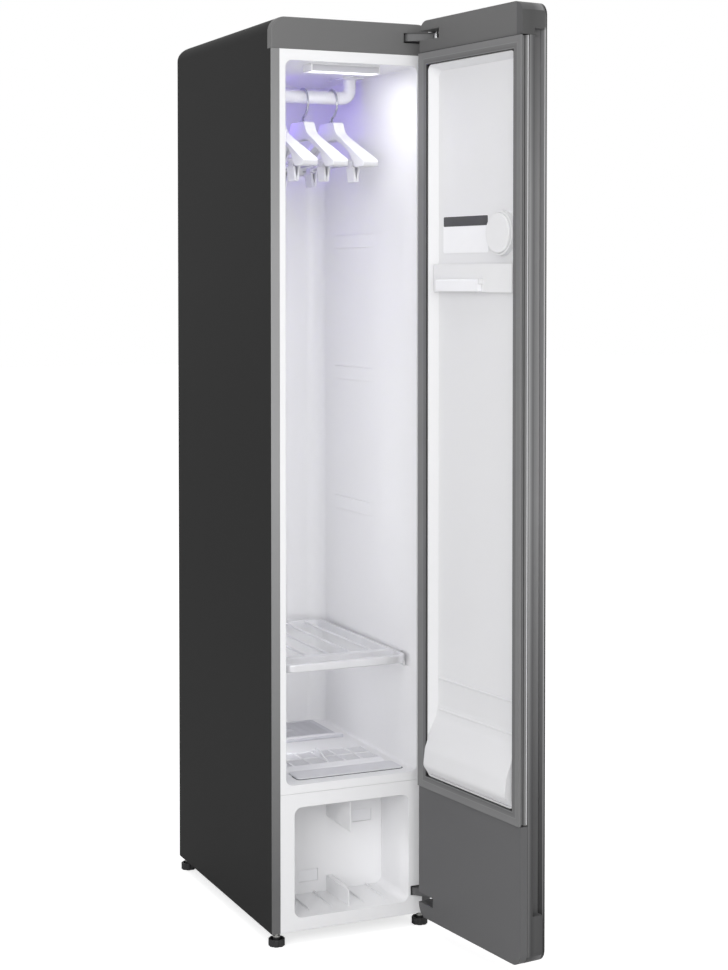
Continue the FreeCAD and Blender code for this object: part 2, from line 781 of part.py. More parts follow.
def rail_guides():
    """Two channels on the cavity ceiling that the carriage slides in."""
    low = ceiling_level + liner_wall
    half = carriage_depth / 2 + seat
    pieces = []
    guide_reach = rail_arm - guide_inset
    for x in (middle - guide_reach, middle + guide_reach):
        block = box(x - guide_length / 2, x + guide_length / 2, rail_y - half - guide_wall,
                    rail_y + half + guide_wall, low, carriage_bottom + carriage_height + 4)
        channel = box(x - guide_length, x + guide_length, rail_y - half, rail_y + half,
                      carriage_bottom - seat, carriage_bottom + carriage_height + seat)
        mouth = box(x - guide_length, x + guide_length, rail_y - half + 6, rail_y + half - 6,
                    carriage_bottom, body_height)
        pieces.append(block.cut(channel).cut(mouth))
    return Part.makeCompound(pieces)


crank_y = rail_y + crank_offset
crank_low = carriage_bottom + 4 + 5.0


def drive_crank():
    """Disc on the motor shaft with an off-centre pin over the carriage slot."""
    disc = rod(crank_disc_radius, Vector(middle, crank_y, crank_low),
               Vector(middle, crank_y, crank_low + crank_disc_height))
    pin = rod(crank_pin_radius, Vector(middle, crank_y + rail_stroke, carriage_bottom + 4.5),
              Vector(middle, crank_y + rail_stroke, crank_low))
    bore = rod(3.0, Vector(middle, crank_y, crank_low - 1),
               Vector(middle, crank_y, crank_low + crank_disc_height + 1))
    return fuse([disc, pin]).cut(bore)


def drive_motor():
    """Gear motor on a bridge bracket that stands on the cavity ceiling."""
    low = crank_low + crank_disc_height + seat
    can = rod(motor_radius, Vector(middle, crank_y, low + 3), Vector(middle, crank_y, low + motor_height))
    shaft = rod(3.0 - running, Vector(middle, crank_y, crank_low + 0.5), Vector(middle, crank_y, low + 3))
    plate = box(middle - 42, middle + 42, crank_y - 16, crank_y + 16, low, low + 3)
    legs = [box(x - 1.5, x + 1.5, crank_y - 10, crank_y + 16, ceiling_level + liner_wall, low)
            for x in (middle - 40.5, middle + 40.5)]
    return fuse([plate, can, shaft] + legs)


# ---- hangers ---------------------------------------------------------------------------------
def hanger_outline(drop):
    """Side outline of a hanger, lowered by drop to make its hollow underside."""
    half = [(neck_half, neck_top - drop, 6), (neck_foot, neck_low - drop, 40),
            (hanger_half, tip_top - drop, 6), (hanger_half - 2, tip_bottom - drop, 4),
            (arch_reach, tip_bottom - drop, 4), (haunch_half, haunch - drop, 50),
            (arch_half, arch_top - drop, 40)]
    other = [(-y, z, radius) for y, z, radius in reversed(half)]
    return [(rail_y + y, z, radius) for y, z, radius in half + other]


def hanger_plan(inset):
    """Top outline of a hanger: slim at the neck, broad at the shoulders."""
    neck, wide = neck_thickness_half - inset, shoulder_half - inset
    end = hanger_half + 4 - inset
    front_side = [(neck, shoulder_start, 80), (wide, shoulder_full, 60), (wide - 0.5, end, 11),
                  (-wide + 0.5, end, 11), (-wide, shoulder_full, 60), (-neck, shoulder_start, 80)]
    return [(x, rail_y + y, r) for x, y, r in front_side] + \
           [(x, rail_y - y, r) for x, y, r in reversed(front_side)]


def hanger_body(x):
    """Contoured hanger, hollow underneath, with two webs that hold the trouser rod."""
    outer = prism(hanger_outline(0), "x", -shoulder_half - 1, shoulder_half + 1).common(
        prism(hanger_plan(0), "z", tip_bottom - 20, neck_top + 1))
    reach = hanger_half - hanger_end_wall
    hollow = prism(hanger_outline(4), "x", -shoulder_half, shoulder_half).common(
        prism(hanger_plan(hanger_wall), "z", tip_bottom - 40, neck_top)).common(
        box(-shoulder_half, shoulder_half, rail_y - reach, rail_y + reach, tip_bottom - 40, neck_top))
    webs = [box(-shoulder_half, shoulder_half, rail_y + min(y), rail_y + max(y), tip_bottom - 2, neck_low)
            for y in ((-arch_reach - rod_seat - 2, -arch_reach), (arch_reach, arch_reach + rod_seat + 2))]
    body = fuse([outer.cut(hollow)] + [web.common(outer) for web in webs])
    body = body.cut(hanger_wires(0)).translated(Vector(x, 0, 0))
    return Part.makeCompound([body] + fixed_jaws(x))


def hanger_wires(x):
    """Chromed hook over the rail and the trouser rod across the hanger."""
    centre = rail_level + rail_radius + seat + hook_wire_radius - hook_radius
    lead = radians(17)
    turn = pi / 2 - lead
    small = hook_radius * sin(lead) / (1 - cos(turn))
    base = centre - hook_radius * cos(lead) - small * sin(turn)

    def on_hook(angle):
        return Vector(0, rail_y - hook_radius * sin(angle), centre - hook_radius * cos(angle))

    def on_bend(angle):
        return Vector(0, rail_y - small * (1 - cos(angle)), base + small * sin(angle))

    start = Vector(0, rail_y, neck_top - 8)
    path = Part.Wire([Part.makeLine(start, on_bend(0)),
                      Part.Arc(on_bend(0), on_bend(turn / 2), on_bend(turn)).toShape(),
                      Part.Arc(on_hook(lead), on_hook(pi * 0.75), on_hook(radians(hook_end))).toShape()])
    section = Part.Wire(Part.makeCircle(hook_wire_radius, start, Vector(0, 0, 1)))
    hook = path.makePipeShell([section], True, True)
    reach = arch_reach + rod_seat
    trouser_rod = rod(wire_radius, Vector(0, rail_y - reach, clip_rod_level),
                      Vector(0, rail_y + reach, clip_rod_level))
    return Part.makeCompound([hook, trouser_rod]).translated(Vector(x, 0, 0))


def clip_jaw(x, y, side, eyes, bore):
    """One jaw of a trouser clip on the rod: side +1 or -1, with its own share of the eyes."""
    low, high = y - clip_width / 2, y + clip_width / 2
    level = clip_rod_level
    under, over = level - clip_eye - 0.6, level + clip_eye + 0.6
    blade = [(0.3, clip_bottom, 0), (4.6, clip_bottom, 1.5), (8.2, under, 0), (4.0, under, 0),
             (0.3, clip_bottom + 6, 0)]
    lever = [(2.4, over, 0), (5.4, over, 0), (7.6, level + clip_lever - 1, 0), (5.2, level + clip_lever, 0)]
    link = [(4.0, under - 0.5, 0), (6.6, under - 0.5, 0), (5.4, over + 0.5, 0), (2.4, over + 0.5, 0)]
    pieces = [prism([(side * a, b, r) for a, b, r in shape], "y", low, high)
              for shape in (blade, lever)]
    for start, end in eyes:
        pieces.append(rod(clip_eye, Vector(0, y + start, level), Vector(0, y + end, level)))
        pieces.append(prism([(side * a, b, r) for a, b, r in link], "y", y + start, y + end))
    jaw = fuse(pieces).cut(rod(bore, Vector(0, low - 1, level), Vector(0, high + 1, level)))
    return jaw.translated(Vector(x, 0, 0))


def fixed_jaws(x):
    """The two jaws pressed onto the trouser rod."""
    outer = clip_width / 2
    eyes = [(-outer, -outer + 8), (outer - 8, outer)]
    return [clip_jaw(x, rail_y + y, 1, eyes, wire_radius) for y in (-clip_offset, clip_offset)]


def moving_jaw(x, y):
    outer = clip_width / 2 - 8 - seat
    return clip_jaw(x, rail_y + y, -1, [(-outer, outer)], wire_radius + running)


# ---- shelf -----------------------------------------------------------------------------------
def shelf():
    """Hoop with a rounded front edge, a flat cross bar behind it and front-to-back rods."""
    x0, x1 = cavity_left + shelf_gap, cavity_right - shelf_gap
    low, high = shelf_level, shelf_level + shelf_height
    hoop = prism(rectangle(x0, x1, shelf_front, shelf_back, shelf_corner), "z", low, high)
    rims = [edge for edge in hoop.Edges if edge.BoundBox.ZLength < 1e-6]
    hoop = hoop.makeFillet(shelf_edge_round, rims)
    hoop = hoop.cut(prism(rectangle(x0 + shelf_band, x1 - shelf_band, shelf_front + shelf_band,
                                    shelf_back - shelf_band, shelf_corner - shelf_band),
                          "z", low - 1, high + 1))
    inside_left, inside_right = x0 + shelf_band, x1 - shelf_band
    bar = box(inside_left + shelf_bar_gap, inside_right - shelf_bar_gap, shelf_bar_front,
              shelf_bar_front + shelf_bar_depth, high - shelf_bar_height + 2, high + 2)
    ties = box(inside_left - 1, inside_right + 1, shelf_bar_front + 6, shelf_bar_front + 14,
               high - shelf_bar_height + 3, high - 2)
    level = high - shelf_bar_height / 2
    start = middle - (shelf_rods - 1) * shelf_rod_pitch / 2
    rods = [rod(shelf_rod_radius, Vector(start + i * shelf_rod_pitch, shelf_bar_front + 1, level),
                Vector(start + i * shelf_rod_pitch, shelf_back - 1, level)) for i in range(shelf_rods)]
    return fuse([hoop, bar, ties] + rods)


# ---- machine room ----------------------------------------------------------------------------
duct_left = left + 12.0
duct_right = right - 128.0
duct_wall = 3.0
duct_low = 60.0
duct_back = back - 14.0
duct_top = floor_level - liner_wall - seat
core_low = duct_low + duct_wall + seat
core_high = duct_top - duct_wall - 30.0
evaporator_front = room_front + 14.0
condenser_front = evaporator_front + 52.0
core_depth = 40.0
fin_count = 13
wheel_x = (duct_left + duct_right) / 2 - 6.0
wheel_y = front + 420.0
wheel_level = 170.0
wheel_radius = 48.0
wheel_width = 46.0
blade_count = 14


def air_duct():
    """Moulded duct from the lint filter back past the heat exchangers to the rear outlet."""
    tub = box(duct_left, duct_right, room_front, duct_back, duct_low, duct_top)
    tub = tub.cut(box(duct_left + duct_wall, duct_right - duct_wall, room_front + duct_wall,
                      duct_back - duct_wall, duct_low + duct_wall, duct_top - duct_wall))
    throat = box(middle - 100, middle + 40, filter_front + 20, room_front + 6,
                 bay_top + bay_wall + 2, duct_top)
    throat = throat.cut(box(middle - 97, middle + 37, filter_front + 23, room_front + 12,
                            bay_top + bay_wall + 5, duct_top - duct_wall))
    passage = box(middle - 97, duct_right - duct_wall, room_front - 1, room_front + 8,
                  bay_top + bay_wall + 5, duct_top - duct_wall)
    inlet = box(middle - 97, middle + 37, filter_front + 23, filter_back - 4,
                duct_top - duct_wall - 1, duct_top + 1)
    filter_seat = box(middle - filter_width / 2 - 1, middle + filter_width / 2 + 1, filter_front - 1,
                      filter_back + 1, floor_level + filter_rise - filter_height - seat, duct_top + 1)
    outlet = box(duct_left + duct_wall + 16, duct_right - duct_wall - 8, outlet_front + 40,
                 outlet_back - 10, duct_top - duct_wall - 1, duct_top + 1)
    return fuse([tub, throat]).cut(Part.makeCompound([passage, inlet, filter_seat, outlet]))


def heat_exchanger(y):
    """Finned core with its tubes, across the duct."""
    x0, x1 = duct_left + duct_wall + seat, duct_right - duct_wall - seat
    pitch = (x1 - x0 - 2) / (fin_count - 1)
    fins = [box(x0 + i * pitch, x0 + i * pitch + 2, y, y + core_depth, core_low, core_high)
            for i in range(fin_count)]
    rows = 3
    step = (core_high - core_low) / rows
    tubes = [rod(4.5, Vector(x0, y + core_depth / 2, core_low + (i + 0.5) * step),
                 Vector(x1, y + core_depth / 2, core_low + (i + 0.5) * step)) for i in range(rows)]
    return fuse(fins + tubes)


def heat_exchangers():
    """Evaporator and condenser, one behind the other in the duct."""
    return Part.makeCompound([heat_exchanger(evaporator_front), heat_exchanger(condenser_front)])


def blower_scroll():
    """Volute round the blower wheel, with its mouth turned up to the outlet."""
    half = wheel_width / 2 + 6
    outer = [(wheel_y - 62, wheel_level - 66, 55), (wheel_y + 78, wheel_level - 66, 60),
             (wheel_y + 78, core_high, 0), (wheel_y + 20, core_high, 0),
             (wheel_y + 14, wheel_level + 62, 6), (wheel_y - 62, wheel_level + 62, 50)]
    inner = [(wheel_y - 59, wheel_level - 63, 52), (wheel_y + 75, wheel_level - 63, 57),
             (wheel_y + 75, core_high + 1, 0), (wheel_y + 23, core_high + 1, 0),
             (wheel_y + 17, wheel_level + 59, 3), (wheel_y - 59, wheel_level + 59, 47)]
    volute = prism(outer, "x", wheel_x - half, wheel_x + half).cut(
        prism(inner, "x", wheel_x - half + 3, wheel_x + half - 3))
    inlet = rod(wheel_radius * 0.7, Vector(wheel_x - half - 1, wheel_y, wheel_level),
                Vector(wheel_x - half + 4, wheel_y, wheel_level))
    boss = rod(6.0, Vector(wheel_x + half - 4, wheel_y, wheel_level),
               Vector(wheel_x + half + 1, wheel_y, wheel_level))
    foot_plate = box(wheel_x - half, wheel_x + half, wheel_y - 20, wheel_y + 50,
                     core_low - seat, wheel_level - 64)
    return fuse([volute.cut(inlet).cut(boss), foot_plate])


def blower_wheel():
    """Forward-curved wheel: back disc, blades, front ring and hub."""
    x0, x1 = wheel_x - wheel_width / 2, wheel_x + wheel_width / 2
    disc = rod(wheel_radius, Vector(x1 - 2, wheel_y, wheel_level), Vector(x1, wheel_y, wheel_level))
    hub = rod(9.0, Vector(x0 + 14, wheel_y, wheel_level), Vector(x1, wheel_y, wheel_level))
    ring = rod(wheel_radius, Vector(x0, wheel_y, wheel_level), Vector(x0 + 2, wheel_y, wheel_level))
    ring = ring.cut(rod(wheel_radius - 9, Vector(x0 - 1, wheel_y, wheel_level),
                        Vector(x0 + 3, wheel_y, wheel_level)))
    blades = []
    for i in range(blade_count):
        blade = box(x0, x1, -0.8, 0.8, wheel_radius - 9, wheel_radius - 0.6)
        blade.rotate(Vector(0, 0, wheel_radius - 5), Vector(1, 0, 0), 35)
        blade.rotate(Vector(0, 0, 0), Vector(1, 0, 0), 360.0 * i / blade_count)
        blades.append(blade.translated(Vector(0, wheel_y, wheel_level)))
    bore = rod(3.0, Vector(x0, wheel_y, wheel_level), Vector(x1 - 6, wheel_y, wheel_level))
    shaft_bore = rod(3.0, Vector(x0 + 10, wheel_y, wheel_level), Vector(x1 + 1, wheel_y, wheel_level))
    return fuse([disc, hub, ring] + blades).cut(bore).cut(shaft_bore)


def blower_motor():
    """Motor behind the scroll, its shaft through the wheel hub."""
    start = wheel_x + wheel_width / 2 + 6 + seat
    can = rod(26.0, Vector(start, wheel_y, wheel_level), Vector(start + 30, wheel_y, wheel_level))
    shaft = rod(3.0 - running, Vector(wheel_x - wheel_width / 2 + 16, wheel_y, wheel_level),
                Vector(start, wheel_y, wheel_level))
    bracket = box(start, start + 4, wheel_y - 30, wheel_y + 30, duct_low + duct_wall,
                  wheel_level - 20)
    return fuse([can, shaft, bracket])


compressor_x = right - 65.0
compressor_y = front + 330.0
compressor_radius = 52.0
compressor_low = base_height + 2 * sheet


def compressor():
    """Rotary compressor on three rubber feet, with its accumulator."""
    x, y, low = compressor_x, compressor_y, compressor_low
    half = Part.Face(outline([(0, low + 12, 0), (compressor_radius - 12, low + 12, 0),
                              (compressor_radius, low + 24, 0), (compressor_radius, low + 150, 0),
                              (compressor_radius - 16, low + 168, 0), (0, low + 172, 0)], "y", 0))
    can = half.revolve(Vector(0, 0, 0), Vector(0, 0, 1), 360).translated(Vector(x, y, 0))
    plate = prism(rectangle(x - 52, x + 48, y - 50, y + 50, 12), "z", low + 9, low + 13)
    feet = [rod(8.0, Vector(x + dx, y + dy, low), Vector(x + dx, y + dy, low + 9))
            for dx, dy in ((-40, -38), (36, -38), (-40, 38), (36, 38))]
    accumulator = rod(16.0, Vector(x - 40, y + 62, low + 60), Vector(x - 40, y + 62, low + 150))
    strap = box(x - 44, x - 36, y + 36, y + 50, low + 100, low + 110)
    return fuse([can, plate, accumulator, strap] + feet)


def steam_generator():
    """Steel boiler with a flanged lid, a heater plug and the steam outlet."""
    x0, x1 = duct_right + 10, right - 32
    y0, y1 = front + 430, back - 20
    low = compressor_low
    tank = prism(rectangle(x0, x1, y0, y1, 14), "z", low, low + 96)
    lid = prism(rectangle(x0 - 4, x1 + 4, y0 - 4, y1 + 4, 16), "z", low + 96, low + 101)
    outlet = rod(7.0, Vector(x0 + 30, y0 + 30, low + 100), Vector(x0 + 30, y0 + 30, low + 128))
    heater = rod(16.0, Vector(x1 - 36, y1 - 40, low + 100), Vector(x1 - 36, y1 - 40, low + 116))
    return fuse([tank, lid, outlet, heater])


def water_pump():
    """Small pump that feeds the steam generator from the supply tank."""
    x, y, low = right - 80, room_front + 26, compressor_low
    base = box(x - 26, x + 26, y - 18, y + 18, low, low + 8)
    body = rod(15.0, Vector(x - 30, y, low + 22), Vector(x + 28, y, low + 22))
    port = rod(4.0, Vector(x - 14, y, low + 30), Vector(x - 14, y, low + 56))
    return fuse([base, body, port])


def control_board():
    """Main board in its tray above the cavity."""
    x0, x1, y0, y1 = left + 40, right - 40, front + 352, front + 500
    low = ceiling_level + liner_wall
    tray = box(x0, x1, y0, y1, low, low + 14).cut(box(x0 + 2, x1 - 2, y0 + 2, y1 - 2, low + 2, low + 15))
    posts = [box(x - 3, x + 3, y - 3, y + 3, low + 1, low + 6)
             for x in (x0 + 12, x1 - 12) for y in (y0 + 12, y1 - 12)]
    board = box(x0 + 6, x1 - 6, y0 + 6, y1 - 6, low + 6, low + 7.6)
    parts = [box(x0 + 24 + i * 44, x0 + 50 + i * 44, y0 + 30, y0 + 62, low + 7, low + 24 - 3 * i)
             for i in range(5)]
    return fuse([tray, board] + posts + parts)


# ---- hinges ----------------------------------------------------------------------------------
def hinge_arm(start_x, level, plate_low, plate_high, plate_y):
    """Goosenecked arm from a plate behind the front out to the barrel."""
    reach = barrel_radius - 1.5
    plan = [(start_x, plate_y, 0), (arm_right, plate_y, 0), (arm_right, front - 8, 10),
            (pivot.x + reach, pivot.y + 6, 0), (pivot.x + reach, pivot.y, 0),
            (pivot.x - reach, pivot.y - 1, 0), (start_x, front - 6, 8)]
    arm = prism(plan, "z", level, level + arm_height)
    arm = arm.cut(rod(barrel_radius, Vector(pivot.x, pivot.y, level - 1),
                      Vector(pivot.x, pivot.y, level + arm_height + 1)))
    plate = box(start_x - 2, arm_right + 4, plate_y - 4, plate_y, plate_low, plate_high)
    return fuse([arm, plate])


def hinge_brackets():
    """Upper arm behind the front cap and lower arm on the base pan."""
    upper = hinge_arm(top_arm_left, top_arm_level, cap_bottom + cap_wall + seat,
                      body_height - 8, front + cap_depth - seat)
    lower_y = front + frame_thickness + seat + 2 * sheet + 4 + seat
    lower = hinge_arm(bottom_arm_left, bottom_arm_level, boss_top + seat,
                      bottom_arm_level + 40, lower_y)
    return Part.makeCompound([upper, lower])


def hinge_pin(level):
    """Bright barrel in the arm's end with a spigot above and below."""
    foot_end = Vector(pivot.x, pivot.y, level)
    head = Vector(pivot.x, pivot.y, level + arm_height)
    reach = Vector(0, 0, arm_clearance + pin_overlap)
    return fuse([rod(barrel_radius, foot_end, head), rod(pin_radius, foot_end - reach, head + reach)])


def hinge_pins():
    return Part.makeCompound([hinge_pin(top_arm_level), hinge_pin(bottom_arm_level)])


def hinge_bushes():
    """Flanged bushes in the door above and below each arm."""
    pieces = []
    for level in (top_arm_level, bottom_arm_level):
        for start, step in ((level - arm_clearance, -pin_overlap),
                            (level + arm_height + arm_clearance, pin_overlap)):
            base = Vector(pivot.x, pivot.y, start)
            bush = rod(bush_radius, base, base + Vector(0, 0, step))
            pieces.append(bush.cut(rod(pin_radius + running, base - Vector(0, 0, step),
                                       base + Vector(0, 0, 2 * step))))
    return swing(Part.makeCompound(pieces))


def bush_bores():
    """Room for the bushes, for the pieces of the door that hold them."""
    cuts = []
    for level in (top_arm_level, bottom_arm_level):
        low = Vector(pivot.x, pivot.y, level - arm_clearance - pin_overlap)
        high = Vector(pivot.x, pivot.y, level + arm_height + arm_clearance + pin_overlap)
        cuts.append(rod(bush_radius, low, high))
    return Part.makeCompound(cuts)


def arm_pockets():
    """Space in the door's hinge edge that the two arms sweep."""
    pieces = []
    for level, length in ((top_arm_level, top_pocket), (bottom_arm_level, bottom_pocket)):
        pieces.append(door_box(-2, length, -6, pocket_depth, level - arm_clearance,
                               level + arm_height + arm_clearance))
    return Part.makeCompound(pieces)


def door_cuts(shape):
    return shape.cut(arm_pockets()).cut(bush_bores())


# ---- door ------------------------------------------------------------------------------------
def door_panel():
    """Outer panel of the door, full size."""
    corners = rectangle(0, door_width, door_bottom, body_height, door_radius)
    return swing(door_slab(corners, pull_back + seat, door_thickness))


def door_ring():
    """Edge frame of the door with the pull channel down its free side and the lower hinge block."""
    top = cap_bottom - seat
    corners = [(0, door_bottom, door_radius), (door_width, door_bottom, door_radius),
               (door_width, top, 0), (0, top, 0)]
    ring = door_slab(corners, cover_thickness + seat, pull_back)
    ring = ring.cut(door_box(ring_wall, door_width - free_wall, cover_thickness - 1, pull_back + 1,
                             door_bottom + ring_wall, top - ring_wall))
    block = door_box(ring_wall - 1, hinge_block, cover_thickness + seat, pull_back,
                     door_bottom + ring_wall - 1, bottom_arm_level + 45)
    channel = door_box(door_width - channel_depth, door_width + 1, edge_strip_top, pull_back + 1,
                       channel_bottom, top + 1)
    return swing(door_cuts(fuse([ring, block]).cut(channel)))


def door_cap():
    """Top cap of the door, hollow, solid round the hinge and closing the pull channel."""
    corners = rectangle(0, door_width, cap_bottom, body_height, door_radius, top_only=True)
    cap = door_slab(corners, 0, pull_back)
    cap = cap.cut(door_box(top_pocket + 10, door_width - free_wall - 4, 3, pull_back - 3,
                           cap_bottom - 1, body_height - 4))
    channel = door_box(door_width - channel_depth, door_width + 1, edge_strip_top, pull_back + 1,
                       cap_bottom - 1, channel_top)
    return swing(door_cuts(cap.cut(channel)))


def lower_cover():
    """Hollow cover over the lower part of the door's inner side."""
    top = module_top - 1
    inset = 0.5
    corners = [(inset, door_bottom, door_radius), (door_width - inset, door_bottom, door_radius),
               (door_width - inset, top, 0), (inset, top, 0)]
    cover = door_slab(corners, 0, cover_thickness)
    cover = cover.cut(door_box(hinge_block + 3, door_width - 4, 3, cover_thickness + 1,
                               door_bottom + 30, top - 4))
    return swing(door_cuts(cover))


rim_hinge = gasket_edge + gasket_hinge_width + rim_gap + dish_wall
rim_free = door_width - gasket_edge - gasket_free_width - rim_gap - dish_wall
rim_low = module_top + gasket_end_width + rim_gap + dish_wall
rim_high = cap_bottom - seat - gasket_end_width - rim_gap - dish_wall


def dish_outline(inset, radius, v):
    placed = rectangle(door_right - rim_free + inset, door_right - rim_hinge - inset,
                       rim_low + inset, rim_high - inset, radius)
    return outline(placed, "y", door_inner - v)


def dish_loft(wall, v_top, v_floor):
    """Tapered block whose sides are the dish's sloped walls, grown by a wall."""
    return Part.makeLoft([dish_outline(-wall, 10 + wall, v_top),
                          dish_outline(dish_slope - wall, 16 + wall, v_floor)], True, True)


def flare(inset):
    """Rolled foot of the liner that stands out into the cabinet and turns drips inward."""
    low = rim_low + 3 + inset
    floor = dish_depth + (dish_wall + 1 if inset else 0)
    profile = [(floor, low, 0), (-2 + inset, low, 5), (-flare_proud + inset, low + 18, 14),
               (-flare_proud + 4 + inset, low + 52, 30), (dish_depth - 4 + inset, flare_top - 26, 30),
               (dish_depth, flare_top - inset, 0), (floor + 0.01, flare_top - inset, 0)]
    placed = [(door_inner - v, z, radius) for v, z, radius in profile]
    end = 2 * inset
    return prism(placed, "x", door_right - flare_free + end, door_right - flare_hinge - end)


def door_liner():
    """White dished liner with two cross ribs, a flared foot and a flange under the gasket."""
    flange = door_box(3, door_width - 3, cover_thickness - dish_wall - seat, cover_thickness - seat + 0.2,
                      module_top + 1, cap_bottom - 1)
    dish = fuse([flange, dish_loft(dish_wall, -0.5, dish_depth + dish_wall)])
    dish = dish.cut(dish_loft(0, -0.6, dish_depth))
    ribs = []
    for level in rib_levels:
        start = door_point(rim_hinge + dish_slope + 4, dish_depth, level)
        end = door_point(rim_free - dish_slope - 4, dish_depth, level)
        ribs.append(rod(rib_radius, start, end).cut(
            door_box(0, door_width, dish_depth + dish_wall, 40, level - 9, level + 9)))
    liner = fuse([dish, flare(0)] + ribs).cut(flare(dish_wall))
    return swing(liner)


def door_gasket():
    """Bellows gasket: a wide ring with two folds down its outer side."""
    low, high = module_top, cap_bottom - seat

    def ring(margin, v0, v1):
        outer = door_box(gasket_edge + margin, door_width - gasket_edge - margin, v0, v1,
                         low + margin, high - margin)
        gap = rim_gap + dish_wall
        return outer.cut(door_box(rim_hinge - gap, rim_free + gap, v0 - 1, v1 + 1,
                                  rim_low - gap, rim_high + gap))

    folds = [ring(0, -gasket_proud, 1), ring(7, 1, 3.5), ring(2, 3.5, 6), ring(8, 6, 8.5),
             ring(1, 8.5, cover_thickness - dish_wall - 2 * seat)]
    return swing(fuse(folds))


def foam_core():
    """Foam that fills the door between the liner and the outer panel."""
    gap = 1.0
    core = door_box(ring_wall + gap, door_width - free_wall - gap, dish_depth + dish_wall + gap,
                    pull_back, door_bottom + ring_wall + gap, cap_bottom - ring_wall - gap)
    block = door_box(0, hinge_block + gap, 0, door_thickness, 0, bottom_arm_level + 46)
    pocket = door_box(display_u - 1, display_u + display_width + 1, pull_back - 12, pull_back + 1,
                      display_low - 1, display_low + display_height + 1)
    return swing(core.cut(block).cut(pocket))


display_u = 140.0
display_width = 72.0
display_low = body_height - 690.0
display_height = 130.0


def display_board():
    """Touch and display board behind the outer panel."""
    board = door_box(display_u, display_u + display_width, pull_back - 1.6, pull_back,
                     display_low, display_low + display_height)
    parts = [door_box(display_u + 10, display_u + 34, pull_back - 6, pull_back - 1.6,
                      display_low + 14 + i * 36, display_low + 34 + i * 36) for i in range(3)]
    return swing(fuse([board] + parts))


def cap_ring():
    """Round seat for the twist cap on the liner."""
    floor = dish_depth
    centre = door_point(cap_centre_u, floor, cap_level)
    top = door_point(cap_centre_u, floor - cap_ring_height, cap_level)
    ring = rod(cap_ring_radius, centre, top)
    well = rod(cap_radius + seat, door_point(cap_centre_u, floor - 3, cap_level),
               door_point(cap_centre_u, -30, cap_level))
    spigot = rod(6.0, door_point(cap_centre_u, floor - 2, cap_level),
                 door_point(cap_centre_u, floor - cap_ring_height, cap_level))
    return swing(fuse([ring.cut(well), spigot]))


def twist_cap():
    """Twist cap of the fragrance well, with a shallow grip ridge across it."""
    floor = dish_depth - 3 - seat
    face = dish_depth - cap_height_proud
    cap = rod(cap_radius, door_point(cap_centre_u, floor, cap_level),
              door_point(cap_centre_u, face, cap_level))
    cap = cap.makeFillet(2.5, [edge for edge in cap.Edges
                               if abs(edge.BoundBox.YMax - (door_inner - face)) < 1e-6])
    bore = rod(6.0 + running, door_point(cap_centre_u, floor + 1, cap_level),
               door_point(cap_centre_u, dish_depth - cap_ring_height - 0.5, cap_level))
    return swing(cap.cut(bore))


def clamp_bar():
    """Moulded bar across the dish with two ears for the clamp lever."""
    top = dish_depth - clamp_proud
    bar = door_slab(rectangle(clamp_left_u, clamp_right_u, clamp_bottom, clamp_top, 3.0),
                    top, dish_depth)
    axis_v = top - lever_half - seat
    ears = [door_box(u0, u1, axis_v - 4, top + 1, lever_pivot_level - 5, lever_pivot_level + 5)
            for u0, u1 in ((lever_start_u - 4 - seat, lever_start_u - seat),
                           (lever_end_u + seat, lever_end_u + 4 + seat))]
    bore = rod(lever_pin_radius + running, door_point(lever_start_u - 3, axis_v, lever_pivot_level),
               door_point(lever_end_u + 3, axis_v, lever_pivot_level))
    return swing(fuse([bar] + ears).cut(bore))


def clamp_lever():
    """Proud lever that hangs from two stub pins and clamps hems against the bar."""
    axis_v = dish_depth - clamp_proud - lever_half - seat
    start, end = door_point(lever_start_u, axis_v, lever_pivot_level), \
        door_point(lever_end_u, axis_v, lever_pivot_level)
    barrel = rod(lever_half, start, end)
    blade = door_slab(rectangle(lever_start_u, lever_end_u, lever_bottom, lever_pivot_level, 0),
                      axis_v - lever_half, axis_v + lever_half)
    reach = Vector(2.6, 0, 0)
    pin = rod(lever_pin_radius, start + reach, end - reach)
    return swing(fuse([barrel, blade, pin]))


# ---- write the pieces ------------------------------------------------------------------------
nodes = {
    "outer_wrap": outer_wrap(), "back_panel": back_panel(), "base_pan": base_pan(),
    "front_cap": front_cap(), "front_trim": front_trim(), "cavity_liner": cavity_liner(),
    "tank_bay": tank_bay(), "water_couplings": water_couplings(),
    "outlet_grille": outlet_grille(), "lamp_housing": lamp_housing(), "lamp_lens": lamp_lens(),
    "rail_guides": rail_guides(), "drive_motor": drive_motor(),
    "air_duct": air_duct(), "heat_exchangers": heat_exchangers(),
    "blower_scroll": blower_scroll(),
    "blower_motor": blower_motor(), "compressor": compressor(),
    "steam_generator": steam_generator(), "water_pump": water_pump(),
    "control_board": control_board(), "hinge_brackets": hinge_brackets(),
    "hinge_pins": hinge_pins(),
    "door_panel": door_panel(), "door_ring": door_ring(), "door_cap": door_cap(),
    "lower_cover": lower_cover(), "foam_core": foam_core(), "door_liner": door_liner(),
    "door_gasket": door_gasket(), "display_board": display_board(),
    "hinge_bushes": hinge_bushes(), "cap_ring": cap_ring(), "clamp_bar": clamp_bar(),
    "twist_cap": twist_cap(), "clamp_lever": clamp_lever(),
    "hanger_rail": hanger_rail(), "rail_carriage": rail_carriage(), "drive_crank": drive_crank(),
    "blower_wheel": blower_wheel(), "shelf": shelf(), "lint_filter": lint_filter(),
    "aroma_tray": aroma_tray(),
}
for name, (x, y) in foot_places.items():
    nodes[name] = foot(x, y)
for number in range(hanger_count):
    x = middle + (number - (hanger_count - 1) / 2) * hanger_pitch
    label = "hanger_%d" % (number + 1)
    nodes[label + "_body"] = hanger_body(x)
    nodes[label + "_wires"] = hanger_wires(x)
    nodes[label + "_front_jaw"] = moving_jaw(x, -clip_offset)
    nodes[label + "_back_jaw"] = moving_jaw(x, clip_offset)

